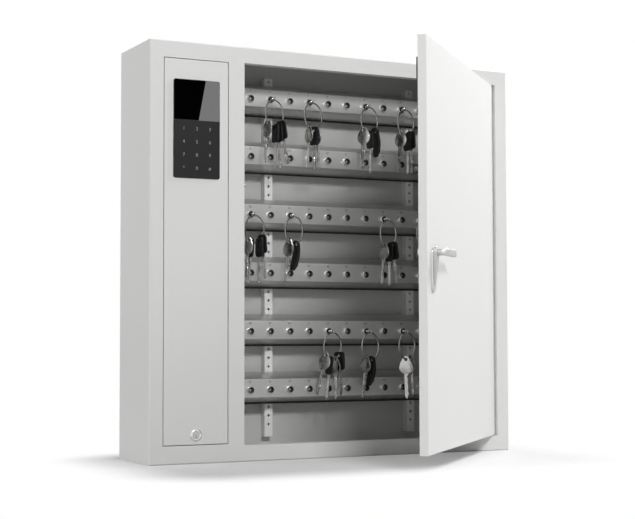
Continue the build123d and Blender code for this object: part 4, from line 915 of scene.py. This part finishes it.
def makeFloor(p):
    # a pale floor with a little glow for rays that look at it; away from the cabinet it turns white, and round the
    # cabinet's box it stays grey with the lamps' real shadow in it, a painted shade ringing the cabinet
    mat, tree, output = bareMaterial("paleFloor")
    diffuse = tree.nodes.new("ShaderNodeBsdfDiffuse")
    diffuse.inputs["Color"].default_value = (p["floorTone"],) * 3 + (1.0,)
    seen = seenRay(tree, "Is Camera Ray", "Is Glossy Ray")
    glow = tree.nodes.new("ShaderNodeEmission")
    tree.links.new(mathNode(tree, "MULTIPLY", seen, p["floorGlow"]), glow.inputs["Strength"])
    add = tree.nodes.new("ShaderNodeAddShader")
    tree.links.new(diffuse.outputs[0], add.inputs[0])
    tree.links.new(glow.outputs[0], add.inputs[1])
    # the distance from the cabinet's box on the floor
    away = tree.nodes.new("ShaderNodeTexCoord").outputs["Object"]
    for op, other in (("SUBTRACT", p["middle"]), ("ABSOLUTE", None), ("SUBTRACT", p["half"]),
                      ("MAXIMUM", (0, 0, 0)), ("LENGTH", None)):
        away = vectorNode(tree, op, away, other)
    ramp = tree.nodes.new("ShaderNodeMapRange")
    ramp.interpolation_type = "SMOOTHSTEP"
    ramp.inputs["From Min"].default_value = p["fadeFrom"]
    ramp.inputs["From Max"].default_value = p["fadeTo"]
    tree.links.new(away, ramp.inputs["Value"])
    white = tree.nodes.new("ShaderNodeEmission")
    mix = tree.nodes.new("ShaderNodeMixShader")
    tree.links.new(mathNode(tree, "MULTIPLY", seen, ramp.outputs["Result"]), mix.inputs["Fac"])
    tree.links.new(add.outputs[0], mix.inputs[1])
    tree.links.new(white.outputs[0], mix.inputs[2])
    tree.links.new(mix.outputs[0], output)
    (left, right), (front, back), z = p["floorX"], p["floorY"], p["floorZ"]
    flatPlane("floor", [(left, front, z), (right, front, z), (right, back, z), (left, back, z)],
              mat)


makeFloor(stage)

card = {"glass": (-0.2758, -0.1522, 0.2597), "away": 1.6, "top": 0.026, "bottom": 0.004,
        "half": 0.062, "size": 0.5, "glow": 1.15, "gap": 0.02}


def makeCards(p):
    # what the display mirrors: a dark flag, and over its right part a pale, slanting card
    centre = Vector(p["glass"])
    view = centre - Vector(camera["place"])
    mirrored = Vector((view.x, -view.y, view.z)).normalized()
    middle = centre + mirrored * p["away"]
    across = Vector((-mirrored.y, mirrored.x, 0)).normalized()
    up = mirrored.cross(across)
    slope = (p["top"] - p["bottom"]) / (2 * p["half"])
    start, size = (p["top"] + p["bottom"]) / 2, p["size"]

    def makeCard(name, low, high, back, material):
        # low and high are where the left edge meets the bottom and the top
        pts = [(low, -size), (size, -size), (size, size), (high, size)]
        ob = flatPlane(name, [middle + across * u + up * v + mirrored * back for u, v in pts],
                       material)
        ob.visible_camera = False
        ob.visible_diffuse = False
        ob.visible_shadow = False
        ob.visible_transmission = False

    makeCard("blackFlag", -size, -size, p["gap"], emissive("flagBlack", 0.0, 0.0))
    makeCard("paleCard", start - slope * size, start + slope * size, 0.0,
             emissive("cardWhite", 1.0, p["glow"]))


makeCards(card)

lights = {"frontLight": {"place": (-0.4, -3.0, 1.5), "target": (-0.1, 0.0, -0.05),
                         "size": (0.9, 0.3), "power": 53.0},
          "leftSideLight": {"place": (-3.2, 0.5, 0.4), "target": (-0.3, 0.0, 0.0),
                            "size": (1.0, 1.6), "power": 38.0},
          "rightLight": {"place": (1.6, -0.35, 1.7), "target": (0.2, -0.3, 0.1),
                         "size": (0.6, 0.6), "power": 45.0}}


def areaLight(name, p):
    data = bpy.data.lights.new(name, "AREA")
    data.shape = "RECTANGLE"
    data.size, data.size_y = p["size"]
    data.energy = p["power"]
    ob = bpy.data.objects.new(name, data)
    ob.location = p["place"]
    aim = Vector(p["target"]) - Vector(p["place"])
    ob.rotation_euler = aim.to_track_quat("-Z", "Y").to_euler()
    bpy.context.collection.objects.link(ob)


for name, values in lights.items():
    areaLight(name, values)

room = {"ambient": 0.05}


def makeWorld(p):
    # white where it is looked at or shines through, and a faint ambient light for the rest
    world = bpy.data.worlds.new("studio")
    world.use_nodes = True
    bpy.context.scene.world = world
    tree = world.node_tree
    back = tree.nodes["Background"]
    seen = seenRay(tree, "Is Camera Ray", "Is Glossy Ray", "Is Transmission Ray")
    back.inputs["Color"].default_value = (1, 1, 1, 1)
    tree.links.new(mathNode(tree, "MULTIPLY_ADD", seen, 1.0 - p["ambient"], p["ambient"]),
                   back.inputs["Strength"])


makeWorld(room)
print("stage made")
